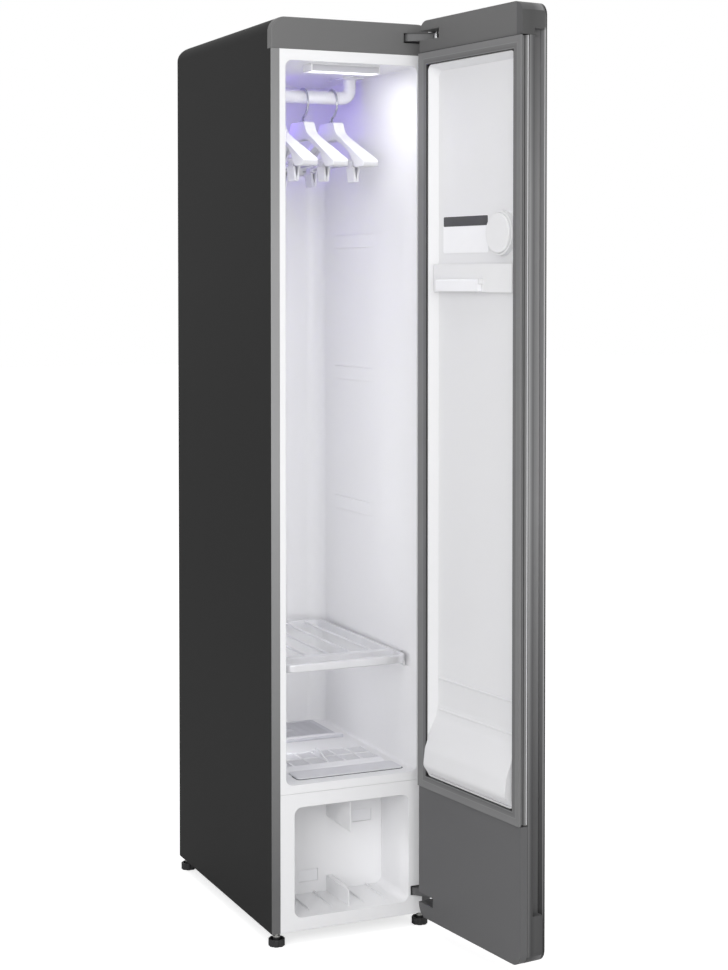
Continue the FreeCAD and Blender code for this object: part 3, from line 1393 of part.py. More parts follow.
os.makedirs("parts", exist_ok=True)
for name, shape in nodes.items():
    shape.exportStep("parts/%s.step" % name)
print(len(nodes), "nodes")
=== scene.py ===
import math

import bpy
from mathutils import Matrix, Vector


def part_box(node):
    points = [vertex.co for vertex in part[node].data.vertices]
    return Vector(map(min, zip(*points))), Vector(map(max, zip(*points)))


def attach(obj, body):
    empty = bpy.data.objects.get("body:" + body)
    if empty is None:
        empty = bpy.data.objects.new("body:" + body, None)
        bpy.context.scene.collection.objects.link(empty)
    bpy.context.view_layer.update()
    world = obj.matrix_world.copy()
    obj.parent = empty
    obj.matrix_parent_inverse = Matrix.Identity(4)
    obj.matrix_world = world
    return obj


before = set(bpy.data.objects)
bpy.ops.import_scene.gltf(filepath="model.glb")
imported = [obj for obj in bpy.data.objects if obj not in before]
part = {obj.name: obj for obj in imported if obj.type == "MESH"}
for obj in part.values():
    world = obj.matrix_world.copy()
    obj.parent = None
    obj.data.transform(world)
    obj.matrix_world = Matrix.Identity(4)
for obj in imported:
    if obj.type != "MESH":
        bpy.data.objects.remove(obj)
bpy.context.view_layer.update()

# ---- Studio ----------------------------------------------------------------------------------
# A white paper sweep under even, cold light: a wide soft lamp on the left that reaches into the
# cavity and the open door, one at the camera, one over the roof, one on the hinge side. The
# camera stands nearly level, and its lens is shifted down to take in the whole cabinet.
camera_place = Vector((-1.372, -3.472, 1.328))
camera_tilt = math.radians(1.68)
camera_heading = Vector((0.4107, 0.9118, -math.tan(camera_tilt)))
sensor_width = 36.0
focal_pixels = 1880.7
picture_height = 970
raised_pixels = 148.4
view_reach = 60.0

camera_data = bpy.data.cameras.new("camera")
camera_data.sensor_width = sensor_width
camera_data.lens = focal_pixels / picture_height * sensor_width
camera_data.shift_y = -raised_pixels / picture_height
camera_data.clip_end = view_reach
camera = bpy.data.objects.new("camera", camera_data)
camera.location = camera_place
camera.rotation_euler = camera_heading.to_track_quat("-Z", "Y").to_euler()
bpy.context.scene.collection.objects.link(camera)
bpy.context.scene.camera = camera
bpy.context.scene.view_settings.view_transform = "Standard"


def colour(text):
    """Linear colour of an sRGB hex value."""
    parts = [int(text[i:i + 2], 16) / 255 for i in (1, 3, 5)]
    return [p / 12.92 if p <= 0.04045 else ((p + 0.055) / 1.055) ** 2.4 for p in parts] + [1.0]


def add(tree, kind, links=(), **settings):
    """Adds a shader node: settings are its properties or inputs, and links are pairs of a socket,
    or a plain value, and the input that it goes to."""
    made = tree.nodes.new("ShaderNode" + kind)
    for name, value in settings.items():
        if hasattr(made, name):
            setattr(made, name, value)
        else:
            made.inputs[name.replace("_", " ")].default_value = value
    for source, name in links:
        if isinstance(source, bpy.types.NodeSocket):
            tree.links.new(source, made.inputs[name])
        else:
            made.inputs[name].default_value = source
    return made


def area_lamp(name, place, target, width, height, power, tint="#ffffff", inside=False):
    """A soft lamp; one inside the cabinet is hidden, so that only its light is seen."""
    data = bpy.data.lights.new(name, "AREA")
    data.shape, data.size, data.size_y = "RECTANGLE", width, height
    data.energy, data.color = power, colour(tint)[:3]
    lamp = bpy.data.objects.new(name, data)
    lamp.location = place
    lamp.rotation_euler = (Vector(target) - Vector(place)).to_track_quat("-Z", "Y").to_euler()
    if inside:
        lamp.visible_camera = lamp.visible_glossy = False
    bpy.context.scene.collection.objects.link(lamp)


area_lamp("key_lamp", (-2.7, -2.8, 1.6), (0.2, 0.0, 0.95), 2.2, 2.4, 57.0)
area_lamp("front_lamp", (-0.6, -3.9, 2.1), (0.16, 0.1, 0.95), 2.0, 2.0, 33.0)
area_lamp("roof_lamp", (0.1, -0.6, 4.3), (0.1, 0.1, 0.0), 2.6, 2.6, 24.0)
area_lamp("fill_lamp", (3.2, -2.4, 1.7), (0.3, 0.0, 0.9), 1.8, 2.4, 10.0)

# The room is white where it is seen, a little greyer in mirrors, and greyer still as a light.
white_seen, white_mirrored, white_as_light = "#ffffff", 0.75, 0.62
world = bpy.data.worlds.new("white_room")
world.use_nodes = True
bpy.context.scene.world = world
tree = world.node_tree
tree.nodes.clear()
ray = add(tree, "LightPath")
seen = add(tree, "Math", [(ray.outputs["Is Camera Ray"], 0),
                          (ray.outputs["Is Transmission Ray"], 1)], operation="MAXIMUM")
mirrored = add(tree, "Math", [(ray.outputs["Is Glossy Ray"], 0), (white_mirrored, 1)],
               operation="MULTIPLY")
brighter = add(tree, "Math", [(seen.outputs[0], 0), (mirrored.outputs[0], 1)], operation="MAXIMUM")
strength = add(tree, "Math", [(brighter.outputs[0], 0), (white_as_light, 1)], operation="MAXIMUM")
sky = add(tree, "Background", [(strength.outputs[0], "Strength")], Color=colour(white_seen))
tree.links.new(sky.outputs[0], add(tree, "OutputWorld").inputs["Surface"])


def material(name):
    """A new material: itself, its tree, and its shader linked to the output."""
    made = bpy.data.materials.new(name)
    made.use_nodes = True
    tree = made.node_tree
    tree.nodes.clear()
    shader = add(tree, "BsdfPrincipled")
    tree.links.new(shader.outputs[0], add(tree, "OutputMaterial").inputs["Surface"])
    return made, tree, shader


# White seamless paper, quite matt, with fibres about 1 mm across. To the camera it adds light of
# its own, so that it stays white far from the lamps while the soft shadow round the feet shows.
sweep_reach = 25
sweep_drop = 0.0005

sweep_paper, tree, shader = material("white_seamless_paper")
shader.inputs["Base Color"].default_value = colour("#e4e4e4")
shader.inputs["Roughness"].default_value = 1.0
shader.inputs["Specular IOR Level"].default_value = 0.0
ray = add(tree, "LightPath")
fibre = add(tree, "TexNoise", [(add(tree, "TexCoord").outputs["Object"], "Vector")], Scale=900.0)
bump = add(tree, "Bump", [(fibre.outputs["Fac"], "Height")], Distance=0.0001, Strength=0.3)
tree.links.new(bump.outputs[0], shader.inputs["Normal"])
glow = add(tree, "Emission", [(ray.outputs["Is Camera Ray"], "Strength")], Color=colour("#d4d4d4"))
both = add(tree, "AddShader", [(shader.outputs[0], 0), (glow.outputs[0], 1)])
tree.links.new(both.outputs[0], tree.nodes["Material Output"].inputs["Surface"])
sweep_mesh = bpy.data.meshes.new("paper_sweep")
sweep_mesh.from_pydata([(-sweep_reach, -sweep_reach, 0), (sweep_reach, -sweep_reach, 0),
                        (sweep_reach, sweep_reach, 0), (-sweep_reach, sweep_reach, 0)],
                       [], [(0, 1, 2, 3)])
sweep_mesh.materials.append(sweep_paper)
paper_sweep = bpy.data.objects.new("paper_sweep", sweep_mesh)
paper_sweep.location.z = -sweep_drop
bpy.context.scene.collection.objects.link(paper_sweep)

# ---- Outer wrap ------------------------------------------------------------------------------
# Both sides and the roof are one sheet of steel, coil-coated dark grey before it is bent. The
# coat is semi-gloss with a faint orange peel, which shows where the bend along the roof shines.
def mottled(tree, shader, pale, deep, size, rough, spread):
    """Colour and roughness from one soft noise whose blotches are size metres across."""
    place = add(tree, "TexCoord").outputs["Object"]
    cloud = add(tree, "TexNoise", [(place, "Vector")], Scale=1 / size, Detail=3.0)
    tint = add(tree, "Mix", [(cloud.outputs["Fac"], 0), (colour(deep), 6), (colour(pale), 7)],
               data_type="RGBA")
    tree.links.new(tint.outputs[2], shader.inputs["Base Color"])
    gloss = add(tree, "MapRange", [(cloud.outputs["Fac"], "Value")], To_Min=rough - spread,
                To_Max=rough + spread)
    tree.links.new(gloss.outputs[0], shader.inputs["Roughness"])
    return place, tint


def grained(tree, shader, place, grain, depth, softened=0.0):
    """Bumps grain metres across and depth metres deep, over edges softened by a small radius."""
    pits = add(tree, "TexNoise", [(place, "Vector")], Scale=1 / grain, Detail=2.0)
    bump = add(tree, "Bump", [(pits.outputs["Fac"], "Height")], Distance=depth, Strength=0.5)
    if softened:
        edge = add(tree, "Bevel", Radius=softened, samples=4)
        tree.links.new(edge.outputs[0], bump.inputs["Normal"])
    tree.links.new(bump.outputs[0], shader.inputs["Normal"])


def finish(made, *nodes):
    """Gives pieces of the frame their finish."""
    for node in nodes:
        part[node].data.materials.clear()
        part[node].data.materials.append(made)


coated_steel, tree, shader = material("coil_coated_steel")
shader.inputs["Specular IOR Level"].default_value = 0.04
place, tint = mottled(tree, shader, "#2a2a2a", "#272727", 0.35, 0.46, 0.03)
grained(tree, shader, place, 0.002, 0.00012)
finish(coated_steel, "outer_wrap")

# ---- Back panel and base pan -----------------------------------------------------------------
# Galvanised sheet with pressed vents, and a folded pan under the cabinet. The zinc shows a soft
# spangle about 12 mm across. A black rubber bushing lines the hole for the mains lead.
bushing_centre = (0.274, 0.556, 0.070)
bushing_reach = 0.0098
zinc_metallic = 0.85

galvanised_sheet, tree, shader = material("galvanised_sheet")
place, tint = mottled(tree, shader, "#a9acae", "#8e9194", 0.012, 0.44, 0.07)
grained(tree, shader, place, 0.004, 0.00005)
distance = add(tree, "VectorMath", [(place, 0), (bushing_centre, 1)], operation="DISTANCE")
rubber = add(tree, "Math", [(distance.outputs["Value"], 0), (bushing_reach, 1)],
             operation="LESS_THAN")
lined = add(tree, "Mix", [(rubber.outputs[0], 0), (tint.outputs[2], 6), (colour("#1f1f20"), 7)],
            data_type="RGBA")
tree.links.new(lined.outputs[2], shader.inputs["Base Color"])
zinc = add(tree, "Math", [(zinc_metallic, 0), (rubber.outputs[0], 1)], operation="SUBTRACT")
tree.links.new(zinc.outputs[0], shader.inputs["Metallic"])
finish(galvanised_sheet, "back_panel", "base_pan")


def show(name, vertices, faces, made, body, smooth=False):
    """Makes a piece from its mesh data, in metres, and lets it ride on a body."""
    mesh = bpy.data.meshes.new(name)
    mesh.from_pydata([tuple(v) for v in vertices], [], faces)
    mesh.update()
    for face in mesh.polygons:
        face.use_smooth = smooth
    mesh.materials.append(made)
    piece = bpy.data.objects.new(name, mesh)
    bpy.context.scene.collection.objects.link(piece)
    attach(piece, body)


def turned(profile, centre, axis, count=24):
    """Vertices and faces of a turned shape: profile is (radius, distance along the axis)."""
    axis = Vector(axis).normalized()
    side = axis.orthogonal().normalized()
    other = axis.cross(side)
    vertices, faces = [], []
    for radius, along in profile:
        for i in range(count):
            turn = 2 * math.pi * i / count
            vertices.append(Vector(centre) + axis * along
                            + (side * math.cos(turn) + other * math.sin(turn)) * radius)
    for ring in range(len(profile) - 1):
        for i in range(count):
            j = (i + 1) % count
            faces.append((ring * count + i, ring * count + j, (ring + 1) * count + j,
                          (ring + 1) * count + i))
    faces.append(tuple(reversed(range(count))))
    faces.append(tuple(range((len(profile) - 1) * count, len(profile) * count)))
    return vertices, faces


def joined(shapes):
    """One set of vertices and faces from several."""
    vertices, faces = [], []
    for points, sides in shapes:
        faces += [tuple(i + len(vertices) for i in side) for side in sides]
        vertices += list(points)
    return vertices, faces


# Zinc-plated screws hold the back panel to the wrap. Their domed heads are small and bright, and
# the recess for the driver is drawn as a small dark pit.
screw_radius = 0.0036
screw_profile = [(screw_radius, -0.0006), (screw_radius, 0.0001), (screw_radius * 0.75, 0.0004),
                 (0.0012, 0.0005), (0.0010, -0.0006)]
screw_levels = (0.085, 0.42, 0.76, 1.10, 1.44, 1.78)
screw_columns = (-0.0085, 0.3265)
back_face = 0.556

zinc_plate, tree, shader = material("zinc_plated_steel")
shader.inputs["Metallic"].default_value = 1.0
place, tint = mottled(tree, shader, "#c9c8c2", "#aeb0ae", 0.002, 0.32, 0.08)
grained(tree, shader, place, 0.0006, 0.00003)
heads = [turned(screw_profile, (x, back_face, z), (0, 1, 0), 16)
         for x in screw_columns for z in screw_levels]
show("back_panel_screws", *joined(heads), zinc_plate, "cabinet")

# ---- Front cap -------------------------------------------------------------------------------
# Moulded ABS, pigmented mid grey, with a fine spark-eroded texture that keeps the cap matt
# beside the coated steel. The texture is drawn as coarse as the picture can hold.
grey_abs, tree, shader = material("spark_textured_grey_abs")
shader.inputs["Specular IOR Level"].default_value = 0.4
place, tint = mottled(tree, shader, "#6c6c6c", "#676767", 0.25, 0.48, 0.03)
grained(tree, shader, place, 0.0011, 0.00006, 0.0011)
finish(grey_abs, "front_cap")

# ---- Front trim ------------------------------------------------------------------------------
# Folded strips of lacquered aluminium down both front edges. The lacquer is smooth, so the
# strip shines softly along its length. Its colour carries painted shade: darker towards the floor,
# and a little darker at the top.
def layers(tree, distance, far, *stops):
    """Colours that change with a distance, each stop given in metres."""
    depth = add(tree, "MapRange", [(distance, "Value")], From_Max=far)
    ramp = add(tree, "ValToRGB", [(depth.outputs[0], 0)])
    marks = ramp.color_ramp.elements
    while len(marks) < len(stops):
        marks.new(0.5)
    for mark, (start, tone) in zip(marks, stops):
        mark.position, mark.color = start / far, colour(tone)
    return ramp.outputs[0]


lacquered_aluminium, tree, shader = material("lacquered_aluminium")
shader.inputs["Metallic"].default_value = 0.55
place, tint = mottled(tree, shader, "#a8a8a8", "#a1a1a2", 0.6, 0.40, 0.02)
# Painted shade by height: the colour is multiplied darker towards the floor and a little at the
# top.
level = add(tree, "SeparateXYZ", [(place, 0)]).outputs["Z"]
shade = layers(tree, level, 1.8, (0.1, "#b0b0b0"), (0.95, "#ffffff"), (1.4, "#fafafa"),
               (1.8, "#dcdcdc"))
with_painted_shade = add(tree, "Mix", [(1.0, 0), (tint.outputs[2], 6), (shade, 7)], data_type="RGBA",
             blend_type="MULTIPLY")
tree.links.new(with_painted_shade.outputs[2], shader.inputs["Base Color"])
grained(tree, shader, place, 0.0015, 0.00003, 0.0006)
finish(lacquered_aluminium, "front_trim")

# ---- Cavity liner and tank bay ---------------------------------------------------------------
# White impact-resistant polystyrene, vacuum formed in one piece above and injection moulded
# below. Its skin is smooth and softly glossy, so the deep walls carry long pale highlights.
white_liner, tree, shader = material("white_polystyrene_liner")
place, tint = mottled(tree, shader, "#eeeeef", "#e9e9eb", 0.4, 0.30, 0.03)
grained(tree, shader, place, 0.009, 0.00009, 0.0016)
finish(white_liner, "cavity_liner", "tank_bay")

# ---- Water couplings -------------------------------------------------------------------------
# White acetal couplings clipped behind the bay's back wall, seen only through their pockets.
# Acetal is a little waxy, so they shine less than the liner.
white_acetal, tree, shader = material("white_acetal")
place, tint = mottled(tree, shader, "#f0f0f2", "#ebebee", 0.03, 0.42, 0.04)
grained(tree, shader, place, 0.0012, 0.00004, 0.0006)
finish(white_acetal, "water_couplings")

# ---- Floor pieces ----------------------------------------------------------------------------
# Outlet grille, lint filter and aroma tray are injection-moulded ABS, whiter and more matt than
# the liner that they sit in.
white_abs, tree, shader = material("white_satin_abs")
place, tint = mottled(tree, shader, "#f0f0f2", "#ebebee", 0.06, 0.38, 0.04)
grained(tree, shader, place, 0.0012, 0.00004, 0.0010)
finish(white_abs, "lint_filter")

# The outlet is of the same ABS. Painted shade makes it greyer below the bars' tops, down into
# the deep slots between the bars.
grille_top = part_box("outlet_grille")[1][2]
bar_round, slot_start = 0.0006, 0.0012

slotted_abs, tree, shader = material("white_satin_abs_slots")
place, tint = mottled(tree, shader, "#f0f0f2", "#ebebee", 0.06, 0.38, 0.04)
grained(tree, shader, place, 0.0012, 0.00004, 0.0010)
# Painted shade: the colour darkens with depth below the grille's top.
level = add(tree, "SeparateXYZ", [(place, 0)]).outputs["Z"]
deep = layers(tree, level, grille_top, (0.0, "#cdcdd2"), (grille_top - slot_start, "#d8d8dc"),
              (grille_top - bar_round, "#ffffff"))
painted_slot_shade = add(tree, "Mix", [(1.0, 0), (tint.outputs[2], 6), (deep, 7)], data_type="RGBA",
            blend_type="MULTIPLY")
tree.links.new(painted_slot_shade.outputs[2], shader.inputs["Base Color"])
finish(slotted_abs, "outlet_grille")

# The tray is pigmented a shade greyer, and stands out softly from the floor round it.
tray_abs, tree, shader = material("pale_grey_abs")
place, tint = mottled(tree, shader, "#dcdce0", "#d6d6db", 0.06, 0.40, 0.04)
grained(tree, shader, place, 0.0012, 0.00004, 0.0010)
finish(tray_abs, "aroma_tray")

# A thin strip of dull black lies in the floor round the tray's front: painted shade, standing for
# the dark gap under the tray's front edge. It narrows towards its top: its section is in half
# widths and in heights.
lip_width, lip_height, lip_corner, lip_tail = 0.0014, 0.0009, 0.0092, 0.022
lip_section = ((-1, 0), (1, 0), (0.6, 1), (-0.6, 1))
lip_gap = 0.0012
rim_height = 0.003
tray_low, tray_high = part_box("aroma_tray")
floor_top = tray_high[2] - rim_height
corner_y = tray_low[1] - lip_gap + lip_corner

shadow_line_black, tree, shader = material("black_shadow_line_strip")
place, tint = mottled(tree, shader, "#2b2b2c", "#232324", 0.01, 0.7, 0.05)
grained(tree, shader, place, 0.001, 0.00005)
lip_line = []
for corner_x, side, steps in ((tray_low[0] - lip_gap + lip_corner, -1, range(0, 7)),
                              (tray_high[0] + lip_gap - lip_corner, 1, range(6, -1, -1))):
    turns = [math.radians(15 * step) for step in steps]
    corner = [(corner_x + side * math.cos(turn) * lip_corner,
               corner_y - math.sin(turn) * lip_corner) for turn in turns]
    tail = (corner_x + side * lip_corner, corner_y + lip_tail)
    lip_line += [tail] + corner if side < 0 else corner + [tail]
vertices, faces = [], []
for i, (x, y) in enumerate(lip_line):
    before, after = lip_line[max(i - 1, 0)], lip_line[min(i + 1, len(lip_line) - 1)]
    along = Vector((after[0] - before[0], after[1] - before[1], 0.0)).normalized()
    across = Vector((-along.y, along.x, 0.0)) * lip_width / 2
    vertices += [Vector((x, y, floor_top + rise * lip_height)) + across * offset
                 for offset, rise in lip_section]
    if i:
        start = 4 * (i - 1)
        faces += [(start + a, start + b, start + 4 + b, start + 4 + a)
                  for a, b in ((0, 1), (1, 2), (2, 3), (3, 0))]
faces += [(3, 2, 1, 0), tuple(len(vertices) - 4 + i for i in range(4))]
show("tray_shadow_line", vertices, faces, shadow_line_black, "cabinet")

# The filter's screen is a woven nylon net, welded under the grid of ribs, dull and a little
# fuzzy. Real threads stand 0.3 mm apart; the net has a 2.4 mm pitch, as fine as can be seen.
net_low, net_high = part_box("lint_filter")
net_inset = 0.0045
net_left, net_right = net_low[0] + net_inset, net_high[0] - net_inset
net_front, net_back = net_low[1] + 0.027, net_high[1] - 0.004
net_level = 0.3245
net_pitch = 0.0024
net_thread = 0.0011
long_threads, cross_threads = (0.0, 0.0005), (0.0003, 0.0009)

woven_nylon, tree, shader = material("woven_nylon_net")
place, tint = mottled(tree, shader, "#e6e6e9", "#dcdce0", 0.01, 0.6, 0.05)
grained(tree, shader, place, 0.0008, 0.0001)


def block(low, high):
    """Vertices and faces of a thin bar between two corners."""
    (x0, y0, z0), (x1, y1, z1) = low, high
    vertices = [(x0, y0, z0), (x1, y0, z0), (x1, y1, z0), (x0, y1, z0),
                (x0, y0, z1), (x1, y0, z1), (x1, y1, z1), (x0, y1, z1)]
    return vertices, [(3, 2, 1, 0), (4, 5, 6, 7), (0, 1, 5, 4), (1, 2, 6, 5), (2, 3, 7, 6),
                      (3, 0, 4, 7)]


threads = []
x = net_left
while x < net_right:
    threads.append(block((x, net_front, net_level + long_threads[0]),
                         (x + net_thread, net_back, net_level + long_threads[1])))
    x += net_pitch
y = net_front
while y < net_back - net_thread:
    threads.append(block((net_left, y, net_level + cross_threads[0]),
                         (net_right, y + net_thread, net_level + cross_threads[1])))
    y += net_pitch
show("lint_net", *joined(threads), woven_nylon, "lint_filter")

# ---- Ceiling lamp ----------------------------------------------------------------------------
# A white housing with a frosted polycarbonate lens over cold white diodes. Light leaves mainly
# through the underside, so the lens's front stays a quiet grey, and the lens's faces that point
# left are a darker grey.
downwards, leftwards = -0.5, -0.7
lens_glow = 1.3

finish(white_abs, "lamp_housing")
frosted_lens, tree, shader = material("frosted_polycarbonate")
place, tint = mottled(tree, shader, "#c6c6cb", "#bfbfc5", 0.02, 0.5, 0.05)
grained(tree, shader, place, 0.0008, 0.00005)
facing = add(tree, "SeparateXYZ", [(add(tree, "NewGeometry").outputs["True Normal"], 0)])
below = add(tree, "Math", [(facing.outputs["Z"], 0), (downwards, 1)], operation="LESS_THAN")
glow = add(tree, "Math", [(below.outputs[0], 0), (lens_glow, 1)], operation="MULTIPLY")
tree.links.new(glow.outputs[0], shader.inputs["Emission Strength"])
shader.inputs["Emission Color"].default_value = colour("#fbfaff")
# The lens's faces that point left take a darker grey.
end = add(tree, "Math", [(facing.outputs["X"], 0), (leftwards, 1)], operation="LESS_THAN")
left_faces_darker = add(tree, "Mix", [(end.outputs[0], 0), (tint.outputs[2], 6), (colour("#77777c"), 7)],
             data_type="RGBA")
tree.links.new(left_faces_darker.outputs[2], shader.inputs["Base Color"])
finish(frosted_lens, "lamp_lens")

# Small lamps inside stand for the diodes and for the light that the white walls throw about. The
# violet one is the glow over the rail at the rear, and one lights the tank bay from its mouth.
for name, place, target, width, height, power, tint in (
        ("diode_light", (0.159, 0.036, 1.7485), (0.22, 0.20, 1.0), 0.14, 0.03, 0.36, "#ffffff"),
        ("wall_light", (0.045, 0.05, 1.10), (0.22, 0.30, 1.10), 0.03, 0.90, 0.28, "#fcfcff"),
        ("back_light", (0.06, 0.20, 1.06), (0.09, 0.49, 1.06), 0.04, 1.00, 0.24, "#fdfdff"),
        ("floor_light", (0.055, 0.16, 0.44), (0.09, 0.49, 0.42), 0.03, 0.16, 0.17, "#fdfdff"),
        ("tank_light", (0.215, -0.03, 0.15), (0.255, 0.14, 0.07), 0.06, 0.06, 0.022, "#ffffff"),
        ("rear_glow", (0.07, 0.30, 1.750), (0.30, 0.40, 1.45), 0.10, 0.12, 0.36, "#9274ff")):
    area_lamp(name, place, target, width, height, power, tint, inside=True)

# ---- Hanger rail -----------------------------------------------------------------------------
# Steel tube, bent at both ends and powder coated white, with a moulded cover plate on each arm
# under the ceiling. The powder leaves a fine, even pebble.
powder_coat, tree, shader = material("white_powder_coat")
place, tint = mottled(tree, shader, "#f0f0f3", "#ebebef", 0.05, 0.34, 0.04)
grained(tree, shader, place, 0.0015, 0.00006)
finish(powder_coat, "hanger_rail")

# ---- Rail drive ------------------------------------------------------------------------------
# Over the ceiling a zinc-plated carriage slides in acetal guides, pushed by a crank on a small
# gear motor. The motor's can is drawn from sheet steel, and is dull with faint drawing marks.
finish(zinc_plate, "rail_carriage", "drive_crank")
finish(white_acetal, "rail_guides")
drawn_steel, tree, shader = material("drawn_steel_can")
shader.inputs["Metallic"].default_value = 1.0
place, tint = mottled(tree, shader, "#8f9194", "#7c7e81", 0.006, 0.36, 0.06)
grained(tree, shader, place, 0.0015, 0.00004)
finish(drawn_steel, "drive_motor", "blower_motor")

# ---- Hangers ---------------------------------------------------------------------------------
# Hollow white polypropylene shoulders, moulded with a soft satin skin. The hook and the trouser
# rod are chrome-plated wire, and a small chromed ferrule closes the neck round the hook.
ferrule_profile = [(0.0026, -0.001), (0.0078, -0.001), (0.0082, 0.0004), (0.0074, 0.0020),
                   (0.0050, 0.0030), (0.0038, 0.0052), (0.0026, 0.0058)]
rail_y = 0.246
neck_top = 1.666
hanger_x = {1: 0.092, 2: 0.159, 3: 0.226}

hanger_plastic, tree, shader = material("satin_white_polypropylene")
place, tint = mottled(tree, shader, "#e6e6e9", "#e1e1e5", 0.05, 0.42, 0.04)
grained(tree, shader, place, 0.0012, 0.00004, 0.0018)
chrome, tree, shader = material("bright_chrome_plate")
shader.inputs["Metallic"].default_value = 1.0
place, tint = mottled(tree, shader, "#d3d4d7", "#c2c3c8", 0.01, 0.14, 0.04)
grained(tree, shader, place, 0.002, 0.00001)
for number, x in hanger_x.items():
    name = "hanger_%d" % number
    finish(hanger_plastic, name + "_body", name + "_front_jaw", name + "_back_jaw")
    finish(chrome, name + "_wires")
    show(name + "_ferrule", *turned(ferrule_profile, (x, rail_y, neck_top), (0, 0, 1)), chrome,
         name, smooth=True)

# ---- Shelf -----------------------------------------------------------------------------------
# A hoop of satin-anodised aluminium with a flat bar and five rods welded across it. The milky
# oxide hides half of the metal's shine, and brush lines 0.4 mm apart run along the hoop.
brush_stretch = (60.0, 60.0, 2500.0)

satin_aluminium, tree, shader = material("satin_anodised_aluminium")
shader.inputs["Metallic"].default_value = 0.5
place, tint = mottled(tree, shader, "#f0f0f2", "#e6e6e9", 0.03, 0.35, 0.04)
stretched = add(tree, "Mapping", [(place, "Vector")], Scale=brush_stretch)
lines = add(tree, "TexNoise", [(stretched.outputs[0], "Vector")], Scale=1.0, Detail=2.0)
bump = add(tree, "Bump", [(lines.outputs["Fac"], "Height")], Distance=0.00001, Strength=0.3)
tree.links.new(bump.outputs[0], shader.inputs["Normal"])
finish(satin_aluminium, "shelf")

# ---- Machine room ----------------------------------------------------------------------------
# Behind the tank bay and over the ceiling, all out of sight. Ducts, blower and pump are black
# polypropylene, straight from the mould and half dull.
duct_plastic, tree, shader = material("black_polypropylene_duct")
place, tint = mottled(tree, shader, "#3d3e40", "#333436", 0.05, 0.5, 0.06)
grained(tree, shader, place, 0.002, 0.0001)
finish(duct_plastic, "air_duct", "blower_scroll", "blower_wheel", "water_pump")

# The finned exchangers and the cast boiler are bare aluminium, bright but unevenly so.
mill_aluminium, tree, shader = material("mill_finish_aluminium")
shader.inputs["Metallic"].default_value = 1.0
place, tint = mottled(tree, shader, "#c2c4c6", "#adafb2", 0.01, 0.4, 0.08)
grained(tree, shader, place, 0.002, 0.00005)
finish(mill_aluminium, "heat_exchangers", "steam_generator")

# The compressor's shell is dipped and baked: glossy black over a skin like orange peel.
black_enamel, tree, shader = material("black_baked_enamel")
place, tint = mottled(tree, shader, "#232325", "#1b1b1d", 0.03, 0.28, 0.05)
grained(tree, shader, place, 0.004, 0.00015)
finish(black_enamel, "compressor")

# Solder mask dries to an even green with a soft gloss.
circuit_board, tree, shader = material("green_solder_mask")
place, tint = mottled(tree, shader, "#2f6a4a", "#265b3f", 0.008, 0.35, 0.08)
grained(tree, shader, place, 0.003, 0.0001)
finish(circuit_board, "control_board", "display_board")

# ---- Hinges ----------------------------------------------------------------------------------
# Goosenecked arms in cast steel, painted dark grey, each carrying a turned steel pin on which the
# door hangs. The bushes that run on the pins are hidden in the door, and take the zinc finish.
cast_paint, tree, shader = material("painted_steel_casting")
place, tint = mottled(tree, shader, "#5d5d5e", "#4c4c4d", 0.012, 0.42, 0.06)
grained(tree, shader, place, 0.0016, 0.00012, 0.0010)
finish(cast_paint, "hinge_brackets")

# The pins keep fine rings from the lathe, a third of a millimetre apart, that blur their shine.
turned_steel, tree, shader = material("turned_bright_steel")
shader.inputs["Metallic"].default_value = 1.0
place, tint = mottled(tree, shader, "#a6a6a7", "#8e8e90", 0.004, 0.30, 0.06)
rings = add(tree, "TexWave", [(place, "Vector")], Scale=900.0, bands_direction="Z")
bump = add(tree, "Bump", [(rings.outputs["Fac"], "Height")], Distance=0.00003, Strength=0.4)
tree.links.new(bump.outputs[0], shader.inputs["Normal"])
finish(turned_steel, "hinge_pins")
finish(zinc_plate, "hinge_bushes")

# A sheet of dull black lies on the upper arm, under the door's cap: painted shade, a dark sheet
# that keeps the gap between arm and cap dark.
pin_above_arm = 0.011
arm_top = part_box("hinge_pins")[1][2] - pin_above_arm
sheet_plan = [(0.277, -0.004), (0.328, -0.004), (0.328, -0.024), (0.3315, -0.050),
              (0.3315, -0.0562), (0.3222, -0.0572), (0.277, -0.0225)]
sheet_thickness = 0.0024

black_nylon, tree, shader = material("black_gap_shade_sheet")
place, tint = mottled(tree, shader, "#3a3a3b", "#303031", 0.01, 0.6, 0.05)
grained(tree, shader, place, 0.001, 0.00005)
count = len(sheet_plan)
vertices = [(x, y, arm_top + rise) for rise in (0.0, sheet_thickness) for x, y in sheet_plan]
faces = [tuple(range(count)), tuple(reversed(range(count, 2 * count)))]
faces += [(i, i + count, (i + 1) % count + count, (i + 1) % count) for i in range(count)]
show("arm_gap_shade_sheet", vertices, faces, black_nylon, "cabinet")

# ---- Door ------------------------------------------------------------------------------------
# The front is one sheet of tempered glass, painted charcoal on its back. A dark grey ABS frame
# behind it carries the pull channel, and a plain cover of the same ABS closes the foot.
door_right, door_inner = 0.335, -0.021
door_depth, glass_face = 0.056, 0.0559
door_open = math.radians(97.0)
hinge_axis = Vector((0.327, -0.057, 0.0))

tempered_glass, tree, shader = material("back_painted_tempered_glass")
shader.inputs["IOR"].default_value = 1.52
place, tint = mottled(tree, shader, "#3f3f41", "#3b3b3d", 0.4, 0.09, 0.02)
grained(tree, shader, place, 0.05, 0.00003)


def across_door(tree, place):
    """Distances on the door, from its hinge edge and from its inner face towards the front."""
    found = []
    away = Vector((-math.cos(door_open), -math.sin(door_open), 0.0))
    forward = Vector((math.sin(door_open), -math.cos(door_open), 0.0))
    for line, start in ((away, door_right - hinge_axis.x), (forward, door_inner - hinge_axis.y)):
        along = add(tree, "VectorMath", [(place, 0), (line, 1)], operation="DOT_PRODUCT")
        shift = add(tree, "Math", [(along.outputs["Value"], 0), (start - hinge_axis.dot(line), 1)],
                    operation="ADD")
        found.append(shift.outputs[0])
    return found
